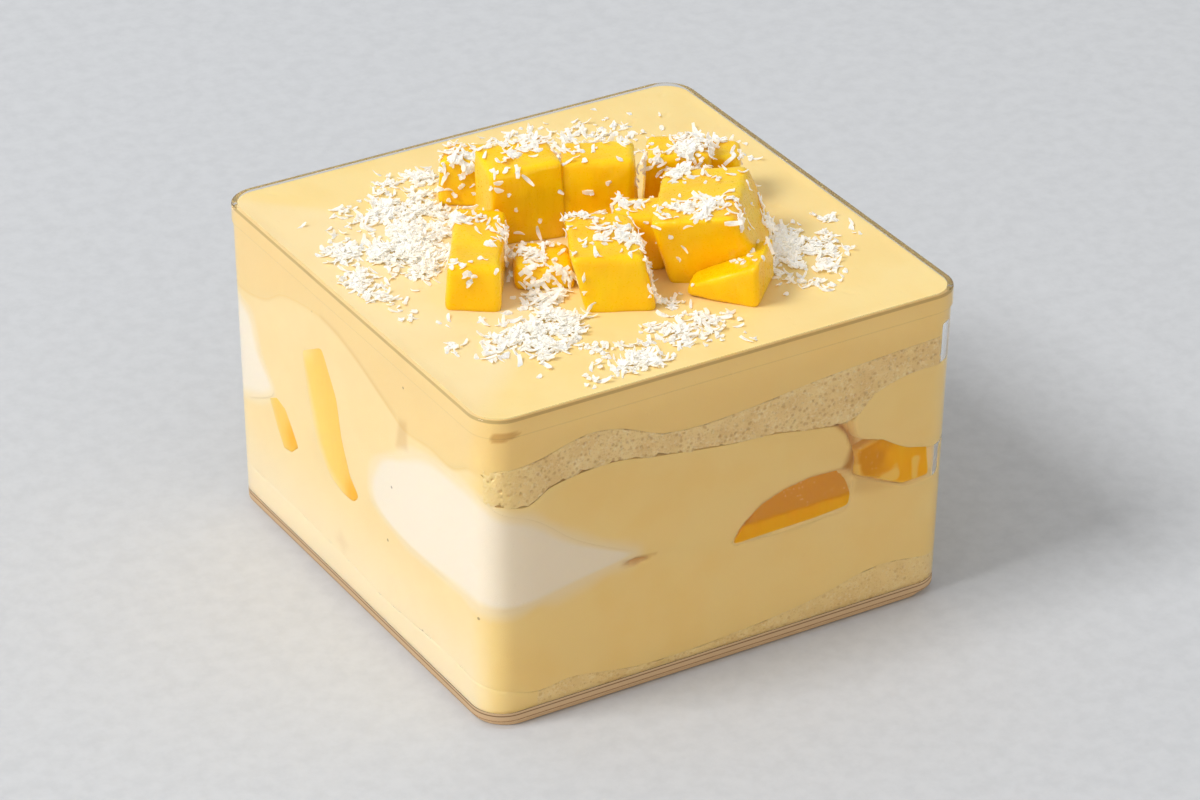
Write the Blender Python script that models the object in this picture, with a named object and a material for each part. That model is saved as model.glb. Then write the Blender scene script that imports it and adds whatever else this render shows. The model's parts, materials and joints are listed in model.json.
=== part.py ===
"""Mango layer cake in a clear square plastic box.

Run with Blender 4.5:  blender --background --python part.py

Lengths are metres, +Z is up, and the origin lies under the middle of the box on the surface
it stands on. The front wall faces -Y and the left wall faces -X. From the bottom up the box
holds a thin sponge, a yellow cream, a mixed middle of yellow cream, white cream and mango,
a second sponge, and a yellow cream that is level with the rim. Mango chunks and shredded
coconut lie on top.
"""
import math
import random

import bmesh
import bpy
from mathutils import Matrix, Vector
from mathutils.bvhtree import BVHTree

MM = 0.001

# Clear box
RIM_WIDTH = 100.0 * MM          # outside, across the rim band
BASE_WIDTH = 97.8 * MM          # outside, just above the foot
BOX_HEIGHT = 64.5 * MM
RIM_BAND = 3.7 * MM             # height of the slightly thicker band at the rim
RIM_STEP = 0.15 * MM            # how far the band stands out from the wall below it
WALL = 1.0 * MM
FLOOR = 3.2 * MM                # inside floor above the table
FOOT_HEIGHT = 1.2 * MM
FOOT_INSET = 1.2 * MM
CORNER_RADIUS = 6.2 * MM        # the four upright edges
BASE_FILLET = 2.0 * MM

# Contents
GAP = 0.3 * MM                  # air between solids that touch
CREAM_TOP = BOX_HEIGHT - GAP    # the cream is struck off level with the rim
SPONGE_SETBACK = 2.4 * MM       # the upper sponge stops this far short of the left wall
SIDE_LENGTH = 100.0 * MM        # distances round the wall count 100 mm to a side

# Sections round the wall, along a side's straight part and round half a corner, and the rings
# of a layer's upper and lower face, as shares of the way from the middle to the wall
STRAIGHT_STEPS = 12
CORNER_STEPS = 3
LAYER_RINGS = (1.0, 0.72)
FILLET_STEPS = 3                # sections of the fillet above the foot
PAST_WALL = 4                   # cutters reach this many gaps past the contents' sides
ON_PLANE = 0.001 * MM           # points this near a cutting plane count as on it

# Heights round the wall, in mm: (distance anticlockwise from the front left corner, height).
# 0-100 is the front wall, 100-200 the right, 200-300 the back and 300-400 the left wall.
BOTTOM_SPONGE_TOP = [(3, 8), (10, 6.3), (17, 7), (32, 4.8), (50, 5), (70, 7), (85, 10), (100, 8.5),
                     (130, 8.5), (150, 6.5), (170, 8), (200, 7.2), (240, 8), (260, 7), (300, 9),
                     (340, 9), (360, 8), (385, 9.2)]
LOWER_CREAM_TOP = [(3, 25), (10, 24.6), (17, 26.5), (30, 28.2), (50, 25.3), (56, 24.2), (72, 24.2),
                   (79, 29.5), (87, 27.3), (94, 25), (120, 27), (140, 24.5), (160, 26.5), (185, 25),
                   (225, 24.5), (250, 27), (290, 24), (315, 26), (330, 23), (345, 24.5), (355, 26.5),
                   (370, 24.4), (390, 25)]
SPONGE_BOTTOM = [(3, 46.5), (8, 45.6), (13, 48.2), (25, 49.5), (35, 48), (50, 46), (60, 45.3),
                 (70, 43.6), (77, 43), (84, 45.3), (100, 45), (118, 47), (145, 43.5), (180, 47),
                 (220, 44), (260, 47.5), (300, 46), (340, 45), (380, 47)]
SPONGE_TOP = [(3, 54), (10, 54.5), (20, 56.8), (27, 56), (37, 52.3), (50, 52), (70, 54), (85, 55),
              (100, 55.5), (112, 54.5), (130, 56), (150, 54), (170, 55.5), (195, 54), (230, 53.5),
              (250, 55.5), (290, 53), (340, 53), (380, 54)]
# Where the middle cream meets the top cream: inside the sponge, but in sight on the left wall
CREAM_SEAM = [(5, 50.5), (50, 49), (100, 50.5), (150, 49), (200, 50.5), (250, 51.5), (290, 49.5),
              (305, 48), (315, 50), (322, 54), (330, 56), (340, 57), (352, 54.8), (362, 51.5),
              (370, 49), (380, 50), (388, 50), (395, 53)]

# Soft dollops pressed against the wall, in the same distances and heights, with how far each
# reaches in as a share of the way to the middle
DOLLOPS = {
    "cream_white_front": dict(
        top=[(354, 28), (357, 35), (360, 39), (367, 41.5), (372, 45), (380, 48), (390, 48),
             (395, 49.2), (400, 46), (410, 42.5), (417, 36), (428, 30.5), (433, 29)],
        bottom=[(354, 27), (360, 25.5), (370, 24.5), (390, 25), (410, 24.6), (417, 26.5), (433, 28.4)],
        depth=0.42),
    "cream_white_back": dict(
        top=[(284, 31), (290, 40), (297, 45), (304, 46), (309, 44), (312, 36), (318, 31)],
        bottom=[(284, 29), (295, 24), (305, 24), (314, 28), (318, 29.5)],
        depth=0.36),
    "cream_right": dict(
        top=[(77.6, 45), (90, 50), (115, 50), (126, 45)],
        bottom=[(77.6, 41), (79, 38.2), (83, 38.4), (90, 34), (97, 32), (110, 34), (120, 38), (126, 43)],
        depth=0.30),
}

DOLLOP_STEP = 7                 # mm between sections
DOLLOP_SECTIONS = 6             # at least so many
DOLLOP_END = 0.02               # squared share of the full depth that is left at the ends
DOLLOP_SIDES = 6                # flats round the inner half of a section

# Mango in the middle layer, in mm and degrees: centre, size, turn about Z, X and Y
MANGO_INSIDE = {
    "mango_slice_front": dict(centre=(14.7, -43, 28.6), size=(25.4, 14, 7.6), turn=(0, -6, -1), narrow=0.86),
    "mango_chunk_right": dict(centre=(36.5, -42.5, 31.3), size=(17, 13, 7.6), turn=(0, 0, 17.5), narrow=0.95),
    "mango_slab_left": dict(centre=(-44, 9.4, 36.2), size=(12, 10.6, 27.5), turn=(0, -28, 0), narrow=0.92),
    "mango_cube_left": dict(centre=(-43.5, 29, 25.5), size=(12, 8.4, 8), turn=(0, -28, 0), narrow=0.92),
    "mango_slice_side": dict(centre=(43, 2, 29.5), size=(13, 23, 8.5), turn=(4, 6, 10), narrow=0.88),
    "mango_cube_side": dict(centre=(43, 33, 32), size=(13, 11, 10), turn=(0, 24, 0), narrow=0.92),
    "mango_slice_back": dict(centre=(-14, 43, 29), size=(22, 13, 8), turn=(0, 8, 6), narrow=0.88),
    "mango_cube_back": dict(centre=(22, 43, 33), size=(11, 13, 12), turn=(0, 0, 32), narrow=0.92),
}

# Mango chunks on the cream, in mm and degrees, and in the order in which they keep their shape:
# foot centre, size, turn about Z, X and Y; narrow is the top's size over the foot's, across and
# along; lean moves the top sideways; wedge makes the right side taller and the left side lower
MANGO_TOP = {
    "mango_slab_west": dict(place=(-25, -2.5), size=(10.5, 23, 9.4), turn=(-32, 1, 3), narrow=(0.88, 0.98)),
    "mango_block_west": dict(place=(-7.6, 11.4), size=(14.2, 11.6, 16), turn=(-12, 3, -2), narrow=(0.94, 0.92)),
    "mango_block_middle": dict(place=(-4, -17), size=(13, 19, 11.2), turn=(-25, 1, 0), lean=(-2.7, 0)),
    "mango_block_east": dict(place=(18.4, -17.8), size=(17.3, 19, 14.8), turn=(-38, -4, -22),
                             lean=(1, -2.3), narrow=(0.88, 1.3), wedge=-0.15),
    "mango_block_rear": dict(place=(5.6, 5), size=(14.2, 9.5, 15.8), turn=(-33, 0, -2), narrow=(0.92, 0.93)),
    "mango_wedge_east": dict(place=(14, -27), size=(13.8, 13, 6.2), turn=(-47, 0, 2), lean=(0, -1.2), wedge=0.6),
    "mango_chunk_northwest": dict(place=(-9.8, 27.8), size=(9.8, 9.8, 9.4), turn=(-35, -2, -1), narrow=(0.9, 0.9)),
    "mango_block_northeast": dict(place=(21.8, 3.6), size=(13.1, 11, 13.4), turn=(-31, -1, 0), narrow=(0.9, 0.9)),
    "mango_chunk_east": dict(place=(30.3, 3.7), size=(8, 8.3, 10.8), turn=(-33, -1, 5), narrow=(0.9, 0.9)),
    "mango_chunk_middle": dict(place=(5, -10), size=(10, 8.6, 11.5), turn=(-34, 0, -1), narrow=(0.92, 0.91)),
    "mango_chunk_low": dict(place=(-13.2, -6.3), size=(11, 11.7, 4.4), turn=(-26, -1, 2), narrow=(0.91, 0.91)),
}
CHUNK_ROUND = 1.1 * MM          # rounding of a chunk's edges
CUTTER_ROUND = 0.6 * MM         # the same on the cutter that makes room for a chunk
CHUNK_UNEVEN = 0.35 * MM        # how far a chunk's corners stray
CHUNK_SINK = 0.6 * MM           # a chunk's foot below the cream's surface, before it is cut flat

# Shredded coconut: where it fell on the cream, in mm: (x, y, reach in x, reach in y, share)
COCONUT_DRIFTS = [(-25, 19, 8, 13, 6), (-40, 3, 8, 12, 2), (-22, -21, 12, 9, 3), (-19, -41, 9, 8, 2),
                  (2, -34, 9, 9, 4), (31, -26, 11, 11, 5), (29, 31, 13, 9, 3), (-4, 38, 14, 6, 3)]
SHREDS_ON_CREAM = 90
SHREDS_ON_MANGO = 100
SHRED_LENGTH = (3.0 * MM, 5.2 * MM)
SHRED_WIDTH = (0.9 * MM, 1.4 * MM)
SHRED_THICK = 0.6 * MM
SHRED_TAPER = 0.7               # width at the narrow end over width at the wide end
SHRED_TILT = 11                 # most degrees out of the surface, along and across the shred
SHRED_ROLL = 20
SHRED_RAISE = 0.08 * MM         # its middle above the surface
SHRED_LIMIT = 0.47 * RIM_WIDTH   # shreds keep this far from the middle, clear of the rim
SHRED_TRIES = 60                # places tried for each shred
DROP_HEIGHT = 100 * MM          # shreds fall on the cream from here
MANGO_LEVEL = 72 * MM           # height at which those for the mango are aimed
MANGO_SPREAD = 0.6              # share of a chunk's size that they miss its middle by, at most
MANGO_SLANT = (-0.9, 0.5)       # how far they come from the left and front, and from the other sides
CREAM_SLOPE, MANGO_SLOPE = 0.5, -0.1    # upright share of the normal of the steepest face they stay on
SEED = 11

# Colours (linear), roughness
LOOKS = {
    "clear_plastic": ((0.86, 0.86, 0.84), 0.08),
    "yellow_cream": ((0.87, 0.66, 0.28), 0.45),
    "white_cream": ((0.90, 0.86, 0.76), 0.45),
    "sponge": ((0.66, 0.47, 0.20), 0.85),
    "mango": ((0.90, 0.50, 0.02), 0.28),
}


# ---------------------------------------------------------------- tools

def clear_scene():
    for thing in list(bpy.data.objects):
        bpy.data.objects.remove(thing, do_unlink=True)


def new_collection(name):
    group = bpy.data.collections.new(name)
    bpy.context.scene.collection.children.link(group)
    return group


def make_material(name):
    colour, roughness = LOOKS[name]
    material = bpy.data.materials.new(name)
    material.use_nodes = True
    shader = material.node_tree.nodes["Principled BSDF"]
    shader.inputs["Base Color"].default_value = (*colour, 1.0)
    shader.inputs["Roughness"].default_value = roughness
    if name == "clear_plastic":
        shader.inputs["Transmission Weight"].default_value = 1.0
    return material


def split_faces(form):
    bmesh.ops.triangulate(form, faces=form.faces, quad_method="FIXED", ngon_method="EAR_CLIP")


def add_object(name, form, group):
    """Turn a bmesh into an object of the group, in triangles that point out."""
    split_faces(form)
    bmesh.ops.recalc_face_normals(form, faces=form.faces)
    if form.calc_volume(signed=True) < 0:
        bmesh.ops.reverse_faces(form, faces=form.faces)
    mesh = bpy.data.meshes.new(name)
    form.to_mesh(mesh)
    form.free()
    thing = bpy.data.objects.new(name, mesh)
    group.objects.link(thing)
    return thing


def add_cutter(form, group):
    cutter = add_object("cutter", form, group)
    cutter.hide_render = True
    cutter.display_type = "WIRE"
    return cutter


def settle(thing):
    """Apply the modifiers, then keep the one large body: scraps and sealed hollows go."""
    bpy.context.view_layer.update()
    mesh = bpy.data.meshes.new_from_object(thing.evaluated_get(bpy.context.evaluated_depsgraph_get()))
    thing.modifiers.clear()
    thing.data = mesh
    form = bmesh.new()
    form.from_mesh(mesh)
    bodies = loose_bodies(form)
    largest = max(bodies, key=body_diagonal)
    scraps = [face for body in bodies if body is not largest for face in body]
    bmesh.ops.delete(form, geom=scraps, context="FACES")
    split_faces(form)
    form.to_mesh(mesh)
    form.free()


def loose_bodies(form):
    """The faces of each body; bodies that only touch at a point are apart."""
    left = set(form.faces)
    bodies = []
    while left:
        body = set()
        reached = [left.pop()]
        while reached:
            face = reached.pop()
            body.add(face)
            for edge in face.edges:
                for other in edge.link_faces:
                    if other in left:
                        left.remove(other)
                        reached.append(other)
        bodies.append(body)
    return bodies


def body_diagonal(body):
    spans = []
    for axis in range(3):
        values = [vertex.co[axis] for face in body for vertex in face.verts]
        spans.append(max(values) - min(values))
    return math.hypot(*spans)


def combine(thing, others, operation, solver="EXACT"):
    """Boolean of a thing with a collection of others, applied; the others are then removed."""
    group = new_collection("operands")
    for other in others:
        for old in list(other.users_collection):
            old.objects.unlink(other)
        group.objects.link(other)
    modifier = thing.modifiers.new(operation, "BOOLEAN")
    modifier.operation = operation
    modifier.operand_type = "COLLECTION"
    modifier.collection = group
    modifier.solver = solver
    settle(thing)
    for other in others:
        bpy.data.objects.remove(other, do_unlink=True)
    bpy.data.collections.remove(group)


# ---------------------------------------------------------------- the box's plan shape

def wall_width(z):
    """Outside width of the box's wall at a height."""
    share = (z - FOOT_HEIGHT) / (BOX_HEIGHT - FOOT_HEIGHT)
    top_width = RIM_WIDTH - 2 * RIM_STEP
    return BASE_WIDTH + (top_width - BASE_WIDTH) * max(0.0, min(1.0, share))


def contents_half_width(z):
    return wall_width(z) / 2 - WALL - GAP


def wall_distances(straight_steps=STRAIGHT_STEPS):
    """Distances round the wall from the front left corner, in finer steps near the corners."""
    corner = SIDE_LENGTH / RIM_WIDTH * CORNER_RADIUS
    straight = SIDE_LENGTH - 2 * corner
    side = [corner * k / CORNER_STEPS for k in range(CORNER_STEPS)]
    side += [corner + straight * k / straight_steps for k in range(straight_steps)]
    side += [SIDE_LENGTH - corner + corner * k / CORNER_STEPS for k in range(CORNER_STEPS)]
    return [k * SIDE_LENGTH + distance for k in range(4) for distance in side]


def wall_point(distance, half_width, radius=CORNER_RADIUS - WALL):
    """Plan position on a square with round corners, at a distance round the wall."""
    side, along = divmod(distance % (4 * SIDE_LENGTH), SIDE_LENGTH)
    t = 2 * along / SIDE_LENGTH - 1
    x, y = half_width * t, -half_width
    core = half_width - radius
    if abs(x) > core:
        away = Vector((abs(x) - core, radius))
        away.normalize()
        x = math.copysign(core + radius * away.x, x)
        y = -core - radius * away.y
    turn = side * math.pi / 2
    return Vector((x * math.cos(turn) - y * math.sin(turn), x * math.sin(turn) + y * math.cos(turn)))


def loft(rings):
    """Closed bmesh through rings of points, all of one count, capped at both ends."""
    form = bmesh.new()
    loops = [[form.verts.new(point) for point in ring] for ring in rings]
    count = len(loops[0])
    for below, above in zip(loops, loops[1:]):
        for k in range(count):
            form.faces.new((below[k], below[(k + 1) % count], above[(k + 1) % count], above[k]))
    form.faces.new(reversed(loops[0]))
    form.faces.new(loops[-1])
    return form


def square_ring(half_width, radius, z):
    plan = [wall_point(distance, half_width, radius) for distance in wall_distances(1)]
    return [Vector((point.x, point.y, z)) for point in plan]


# ---------------------------------------------------------------- layers

def height_round_wall(points):
    """Smooth closed curve of height through (distance, height) points in mm."""
    length = 4 * SIDE_LENGTH / MM
    count = len(points)

    def knot(k):
        lap, index = divmod(k, count)
        distance, height = points[index]
        return distance + lap * length, height

    def slope(k):
        (before, low), (after, high) = knot(k - 1), knot(k + 1)
        return (high - low) / (after - before)

    def height(distance):
        place = distance / MM
        place = points[0][0] + (place - points[0][0]) % length
        k = max(index for index in range(count) if knot(index)[0] <= place)
        (start, low), (end, high) = knot(k), knot(k + 1)
        span = end - start
        t = (place - start) / span
        bend = (2 * t ** 3 - 3 * t ** 2 + 1) * low + (3 * t ** 2 - 2 * t ** 3) * high
        bend += (t ** 3 - 2 * t ** 2 + t) * span * slope(k) + (t ** 3 - t ** 2) * span * slope(k + 1)
        return bend * MM
    return height


def flat(z):
    return lambda distance: z


def layer_surface(height, shift, spread):
    """Rings of a layer's face from the wall inwards, and its middle point."""
    distances = wall_distances()
    at_wall = [height(distance) + shift for distance in distances]
    middle = sum(at_wall) / len(at_wall)
    rings = []
    for share in LAYER_RINGS:
        ring = []
        for distance, z_wall in zip(distances, at_wall):
            z = middle + (z_wall - middle) * share ** 2
            plan = wall_point(distance, contents_half_width(z) + spread) * share
            ring.append(Vector((plan.x, plan.y, z)))
        rings.append(ring)
    return rings, Vector((0, 0, middle))


def layer(lower, upper, low_shift=0.0, high_shift=0.0, spread=0.0):
    """Slab between two heights round the wall; spread makes it wider than the box's inside."""
    form = bmesh.new()
    low_rings, low_middle = layer_surface(lower, low_shift, spread)
    high_rings, high_middle = layer_surface(upper, high_shift, spread)
    loops = [[form.verts.new(point) for point in ring] for ring in low_rings[::-1] + high_rings]
    count = len(loops[0])
    for inner, outer in zip(loops, loops[1:]):
        for k in range(count):
            form.faces.new((inner[k], inner[(k + 1) % count], outer[(k + 1) % count], outer[k]))
    for loop, middle in ((loops[0], low_middle), (loops[-1], high_middle)):
        centre = form.verts.new(middle)
        for k in range(count):
            form.faces.new((loop[k], loop[(k + 1) % count], centre))
    return form


def cut_off(form, point, normal):
    """Remove what lies on the normal's side of a plane and close the cut."""
    geometry = form.verts[:] + form.edges[:] + form.faces[:]
    cut = bmesh.ops.bisect_plane(form, geom=geometry, dist=ON_PLANE, plane_co=point,
                                 plane_no=normal, clear_outer=True)
    edges = [item for item in cut["geom_cut"] if isinstance(item, bmesh.types.BMEdge)]
    bmesh.ops.contextual_create(form, geom=edges)


def upper_sponge_form(grow):
    """The upper sponge; grown, it is the cutter that makes room for it."""
    lower = height_round_wall(SPONGE_BOTTOM)
    upper = height_round_wall(SPONGE_TOP)
    form = layer(lower, upper, -grow, grow, PAST_WALL * grow)
    left_side = -contents_half_width(CREAM_TOP) + SPONGE_SETBACK - grow
    cut_off(form, (left_side, 0, 0), (-1, 0, 0))
    return form


def dollop_form(spec, grow):
    """A soft lump against the wall: half an ellipse in section, tapering at both ends."""
    top = spec["top"]
    bottom = spec["bottom"]
    start, end = top[0][0], top[-1][0]
    steps = max(DOLLOP_SECTIONS, round((end - start) / DOLLOP_STEP))
    rings = []
    for i in range(steps + 1):
        place = start + (end - start) * i / steps
        high = between(top, place) * MM + grow
        low = between(bottom, place) * MM - grow
        distance = place * MM + {0: -grow, steps: grow}.get(i, 0.0)
        middle, half = (high + low) / 2, (high - low) / 2
        fade = math.sqrt(max(DOLLOP_END, 1 - (2 * i / steps - 1) ** 4))
        depth = spec["depth"] * fade + grow / (SIDE_LENGTH / 2)
        ring = []
        for k in range(DOLLOP_SIDES + 1):
            angle = math.pi * (k / DOLLOP_SIDES - 0.5)
            z = middle + half * math.sin(angle)
            plan = wall_point(distance, contents_half_width(z)) * (1 - depth * math.cos(angle))
            ring.append(Vector((plan.x, plan.y, z)))
        if grow:
            for z in (high, low):
                plan = wall_point(distance, contents_half_width(z) + PAST_WALL * grow)
                ring.append(Vector((plan.x, plan.y, z)))
        rings.append(ring)
    return loft(rings)


def between(points, place):
    """Height on a run of (distance, height) points, level beyond its ends."""
    if place <= points[0][0]:
        return points[0][1]
    for (start, low), (end, high) in zip(points, points[1:]):
        if place <= end:
            return low + (high - low) * (place - start) / (end - start)
    return points[-1][1]


# ---------------------------------------------------------------- mango

def turned(angles):
    """Rotation about Z, X and Y, from angles in degrees."""
    about_z, about_x, about_y = (math.radians(angle) for angle in angles)
    return (Matrix.Rotation(about_z, 4, "Z") @ Matrix.Rotation(about_x, 4, "X")
            @ Matrix.Rotation(about_y, 4, "Y"))


def chunk_form(size, narrow, lean=(0.0, 0.0), wedge=0.0, grow=0.0, seed=0):
    """A hand-cut chunk standing on the origin: a cube with a smaller top, uneven and rounded."""
    draw = random.Random(seed)
    form = bmesh.new()
    bmesh.ops.create_cube(form, size=1.0)
    width, depth, height = (value * MM + 2 * grow for value in size)
    for vertex in form.verts:
        x, y, z = vertex.co
        stray = Vector([draw.uniform(-1, 1) * CHUNK_UNEVEN for axis in range(3)])
        top = z > 0
        if top:
            x, y = x * narrow[0] + lean[0] * MM / width, y * narrow[1] + lean[1] * MM / depth
        lift = height * (1 + 2 * wedge * math.copysign(0.5, x)) if top else 0.0
        vertex.co = Vector((x * width, y * depth, lift - grow)) + stray
    bevel = dict(offset=CUTTER_ROUND, segments=1) if grow else dict(offset=CHUNK_ROUND, segments=2)
    bmesh.ops.bevel(form, geom=form.edges[:], profile=0.5, affect="EDGES", **bevel)
    return form


def inside_chunk_form(spec, grow, seed):
    """A chunk in the middle layer, placed by its centre."""
    size, narrow = spec["size"], spec["narrow"]
    form = chunk_form(size, (narrow, narrow), grow=grow, seed=seed)
    centre = Matrix.Translation(Vector(spec["centre"]) * MM)
    form.transform(centre @ turned(spec["turn"]) @ Matrix.Translation((0, 0, -size[2] * MM / 2)))
    return form


def top_chunk_form(spec, grow, seed):
    """A chunk on the cream, with its foot cut flat just above the cream."""
    form = chunk_form(spec["size"], spec.get("narrow", (0.97, 0.97)), spec.get("lean", (0, 0)),
                      spec.get("wedge", 0), grow, seed)
    x, y = spec["place"]
    foot = Matrix.Translation(Vector((x * MM, y * MM, CREAM_TOP - CHUNK_SINK)))
    form.transform(foot @ turned(spec["turn"]))
    cut_off(form, (0, 0, CREAM_TOP + GAP - 2 * grow), (0, 0, -1))
    return form


# ---------------------------------------------------------------- coconut

def shred_form(place, normal, draw):
    """A curled strip of coconut lying on a surface, its middle a little sunk."""
    length = draw.uniform(*SHRED_LENGTH)
    width = draw.uniform(*SHRED_WIDTH)
    form = bmesh.new()
    bmesh.ops.create_cube(form, size=1.0)
    form.verts.ensure_lookup_table()
    for vertex in form.verts:
        x, y, z = vertex.co
        taper = SHRED_TAPER if x > 0 else 1.0
        vertex.co = Vector((x * length, y * width * taper, z * SHRED_THICK))
    heading = Matrix.Rotation(draw.uniform(0, math.tau), 4, "Z")
    lift = Matrix.Rotation(math.radians(draw.uniform(-SHRED_TILT, SHRED_TILT)), 4, "Y")
    roll = Matrix.Rotation(math.radians(draw.uniform(-SHRED_ROLL, SHRED_ROLL)), 4, "X")
    upright = normal.to_track_quat("Z", "Y").to_matrix().to_4x4()
    raised = Matrix.Translation(place + normal * SHRED_RAISE)
    form.transform(raised @ upright @ heading @ lift @ roll)
    return form


def tree_of(thing):
    form = bmesh.new()
    form.from_mesh(thing.data)
    tree = BVHTree.FromBMesh(form)
    form.free()
    return tree


def is_clear(form, others, clearance):
    """Whether a shred crosses none of the other solids and keeps its corners off them."""
    own = BVHTree.FromBMesh(form)
    points = [vertex.co.copy() for vertex in form.verts]
    points += [(a.co + b.co) / 2 for a, b in (edge.verts for edge in form.edges)]
    for tree in others:
        if own.overlap(tree) or any(tree.find_nearest(point, clearance)[0] for point in points):
            return False
    return True


def first_hit(trees, origin, direction):
    """The nearest solid along a ray: its name, the point and the surface's normal."""
    best = None
    for name, tree in trees.items():
        point, normal, _, distance = tree.ray_cast(origin, direction)
        if point is not None and (best is None or distance < best[0]):
            best = (distance, name, point, normal)
    return best


def strew(hosts, trees, count, aim, slope, draw, shreds):
    """Drop shreds on the hosts. aim() gives each one's start and direction."""
    placed = 0
    for _ in range(count * SHRED_TRIES):
        if placed == count:
            break
        origin, direction = aim()
        hit = first_hit(trees, origin, direction)
        if hit is None or hit[1] not in hosts or hit[3].z < slope:
            continue
        name, point, normal = hit[1:]
        form = shred_form(point, normal, draw)
        others = [tree for other, tree in trees.items() if other != name]
        in_reach = 2 * SHRED_LENGTH[1]
        others += [BVHTree.FromBMesh(earlier) for forms in shreds.values() for earlier in forms
                   if (earlier.verts[0].co - point).length < in_reach]
        inside = all(max(abs(vertex.co.x), abs(vertex.co.y)) < SHRED_LIMIT for vertex in form.verts)
        if inside and is_clear(form, others, GAP):
            shreds[name].append(form)
            placed += 1
        else:
            form.free()


# ---------------------------------------------------------------- assembly

def make_box(group, material):
    """One shell: up the outside from the foot, over the rim and down the inside."""
    foot = BASE_WIDTH / 2 - FOOT_INSET
    band_foot = BOX_HEIGHT - RIM_BAND
    outside = [(foot, 0.0), (foot, FOOT_HEIGHT)]
    for k in range(FILLET_STEPS + 1):
        angle = math.pi / 2 * k / FILLET_STEPS
        shrink = (1 - math.sin(angle)) * BASE_FILLET / 2
        z = FOOT_HEIGHT + (1 - math.cos(angle)) * BASE_FILLET
        outside.append((wall_width(z) / 2 - shrink, z))
    outside += [(wall_width(band_foot) / 2, band_foot), (RIM_WIDTH / 2, band_foot + RIM_STEP),
                (RIM_WIDTH / 2, BOX_HEIGHT)]
    inside = [(wall_width(BOX_HEIGHT) / 2 - WALL, BOX_HEIGHT),
              (wall_width(FLOOR) / 2 - WALL, FLOOR)]
    rings = [square_ring(half, CORNER_RADIUS, z) for half, z in outside]
    rings += [square_ring(half, CORNER_RADIUS - WALL, z) for half, z in inside]
    box = add_object("box_clear", loft(rings), group)
    box.data.materials.append(material)
    return box


def make_inside_parts(group, cutters, looks):
    """Middle-layer pieces, each cut clear of those before it, with the cutters that fit them."""
    lowest, highest = FLOOR + GAP, CREAM_TOP
    plans = [("sponge_upper", "sponge", upper_sponge_form)]
    for seed, (name, spec) in enumerate(MANGO_INSIDE.items()):
        plans.append((name, "mango", lambda grow, spec=spec, seed=seed: inside_chunk_form(spec, grow, seed)))
    for name, spec in DOLLOPS.items():
        look = "white_cream" if "white" in name else "yellow_cream"
        plans.append((name, look, lambda grow, spec=spec: dollop_form(spec, grow)))
    grown = []
    for name, look, build in plans:
        piece = add_object(name, build(0.0), group)
        piece.data.materials.append(looks[look])
        if name != "sponge_upper":
            envelope = loft([square_ring(contents_half_width(z), CORNER_RADIUS - WALL, z)
                             for z in (lowest, highest)])
            combine(piece, [add_cutter(envelope, cutters)], "INTERSECT")
            combine(piece, [copy_of(cutter, cutters) for cutter in grown], "DIFFERENCE")
        grown.append(add_cutter(build(GAP), cutters))
    return grown


def copy_of(cutter, group):
    twin = bpy.data.objects.new("cutter", cutter.data.copy())
    group.objects.link(twin)
    return twin


def make_layers(group, cutters, looks, grown):
    half_gap = GAP / 2
    floor_level = flat(FLOOR + GAP)
    sponge_top = height_round_wall(BOTTOM_SPONGE_TOP)
    lower_top = height_round_wall(LOWER_CREAM_TOP)
    seam = height_round_wall(CREAM_SEAM)
    surface = flat(CREAM_TOP)
    plans = [("sponge_bottom", "sponge", floor_level, 0.0, sponge_top, -half_gap),
             ("cream_lower", "yellow_cream", sponge_top, half_gap, lower_top, -half_gap),
             ("cream_middle", "yellow_cream", lower_top, half_gap, seam, -half_gap),
             ("cream_top", "yellow_cream", seam, half_gap, surface, 0.0)]
    for name, look, lower, low_shift, upper, high_shift in plans:
        piece = add_object(name, layer(lower, upper, low_shift, high_shift), group)
        piece.data.materials.append(looks[look])
        if look == "yellow_cream":
            combine(piece, [copy_of(cutter, cutters) for cutter in grown], "DIFFERENCE")


def make_top_mango(group, cutters, looks):
    grown = []
    for seed, (name, spec) in enumerate(MANGO_TOP.items()):
        piece = add_object(name, top_chunk_form(spec, 0.0, seed), group)
        piece.data.materials.append(looks["mango"])
        if grown:
            combine(piece, [copy_of(cutter, cutters) for cutter in grown], "DIFFERENCE")
        grown.append(add_cutter(top_chunk_form(spec, GAP, seed), cutters))


def add_coconut(group, cutters):
    """Coconut on the cream in drifts and on the mango, fused to what it lies on."""
    names = ["cream_top"] + list(MANGO_TOP)
    trees = {name: tree_of(group.objects[name]) for name in names}
    draw = random.Random(SEED)
    shreds = {name: [] for name in names}
    down = Vector((0, 0, -1))
    shares = [drift[4] for drift in COCONUT_DRIFTS]

    def above_cream():
        x, y, reach_x, reach_y = draw.choices(COCONUT_DRIFTS, shares)[0][:4]
        x, y = x + reach_x * draw.uniform(-1, 1), y + reach_y * draw.uniform(-1, 1)
        return Vector((x * MM, y * MM, DROP_HEIGHT)), down

    def above_mango():
        name = draw.choice(names[1:])
        x, y = MANGO_TOP[name]["place"]
        width, depth = (MANGO_SPREAD * side for side in MANGO_TOP[name]["size"][:2])
        x, y = x + width * draw.uniform(-1, 1), y + depth * draw.uniform(-1, 1)
        slant = Vector((draw.uniform(*MANGO_SLANT), draw.uniform(*MANGO_SLANT), 1)).normalized()
        return Vector((x * MM, y * MM, MANGO_LEVEL)) + slant * DROP_HEIGHT, -slant

    strew({"cream_top"}, trees, SHREDS_ON_CREAM, above_cream, CREAM_SLOPE, draw, shreds)
    strew(set(names[1:]), trees, SHREDS_ON_MANGO, above_mango, MANGO_SLOPE, draw, shreds)
    for name, forms in shreds.items():
        if forms:
            fused = [add_object("shred", form, cutters) for form in forms]
            combine(group.objects[name], fused, "UNION", "MANIFOLD")


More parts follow.
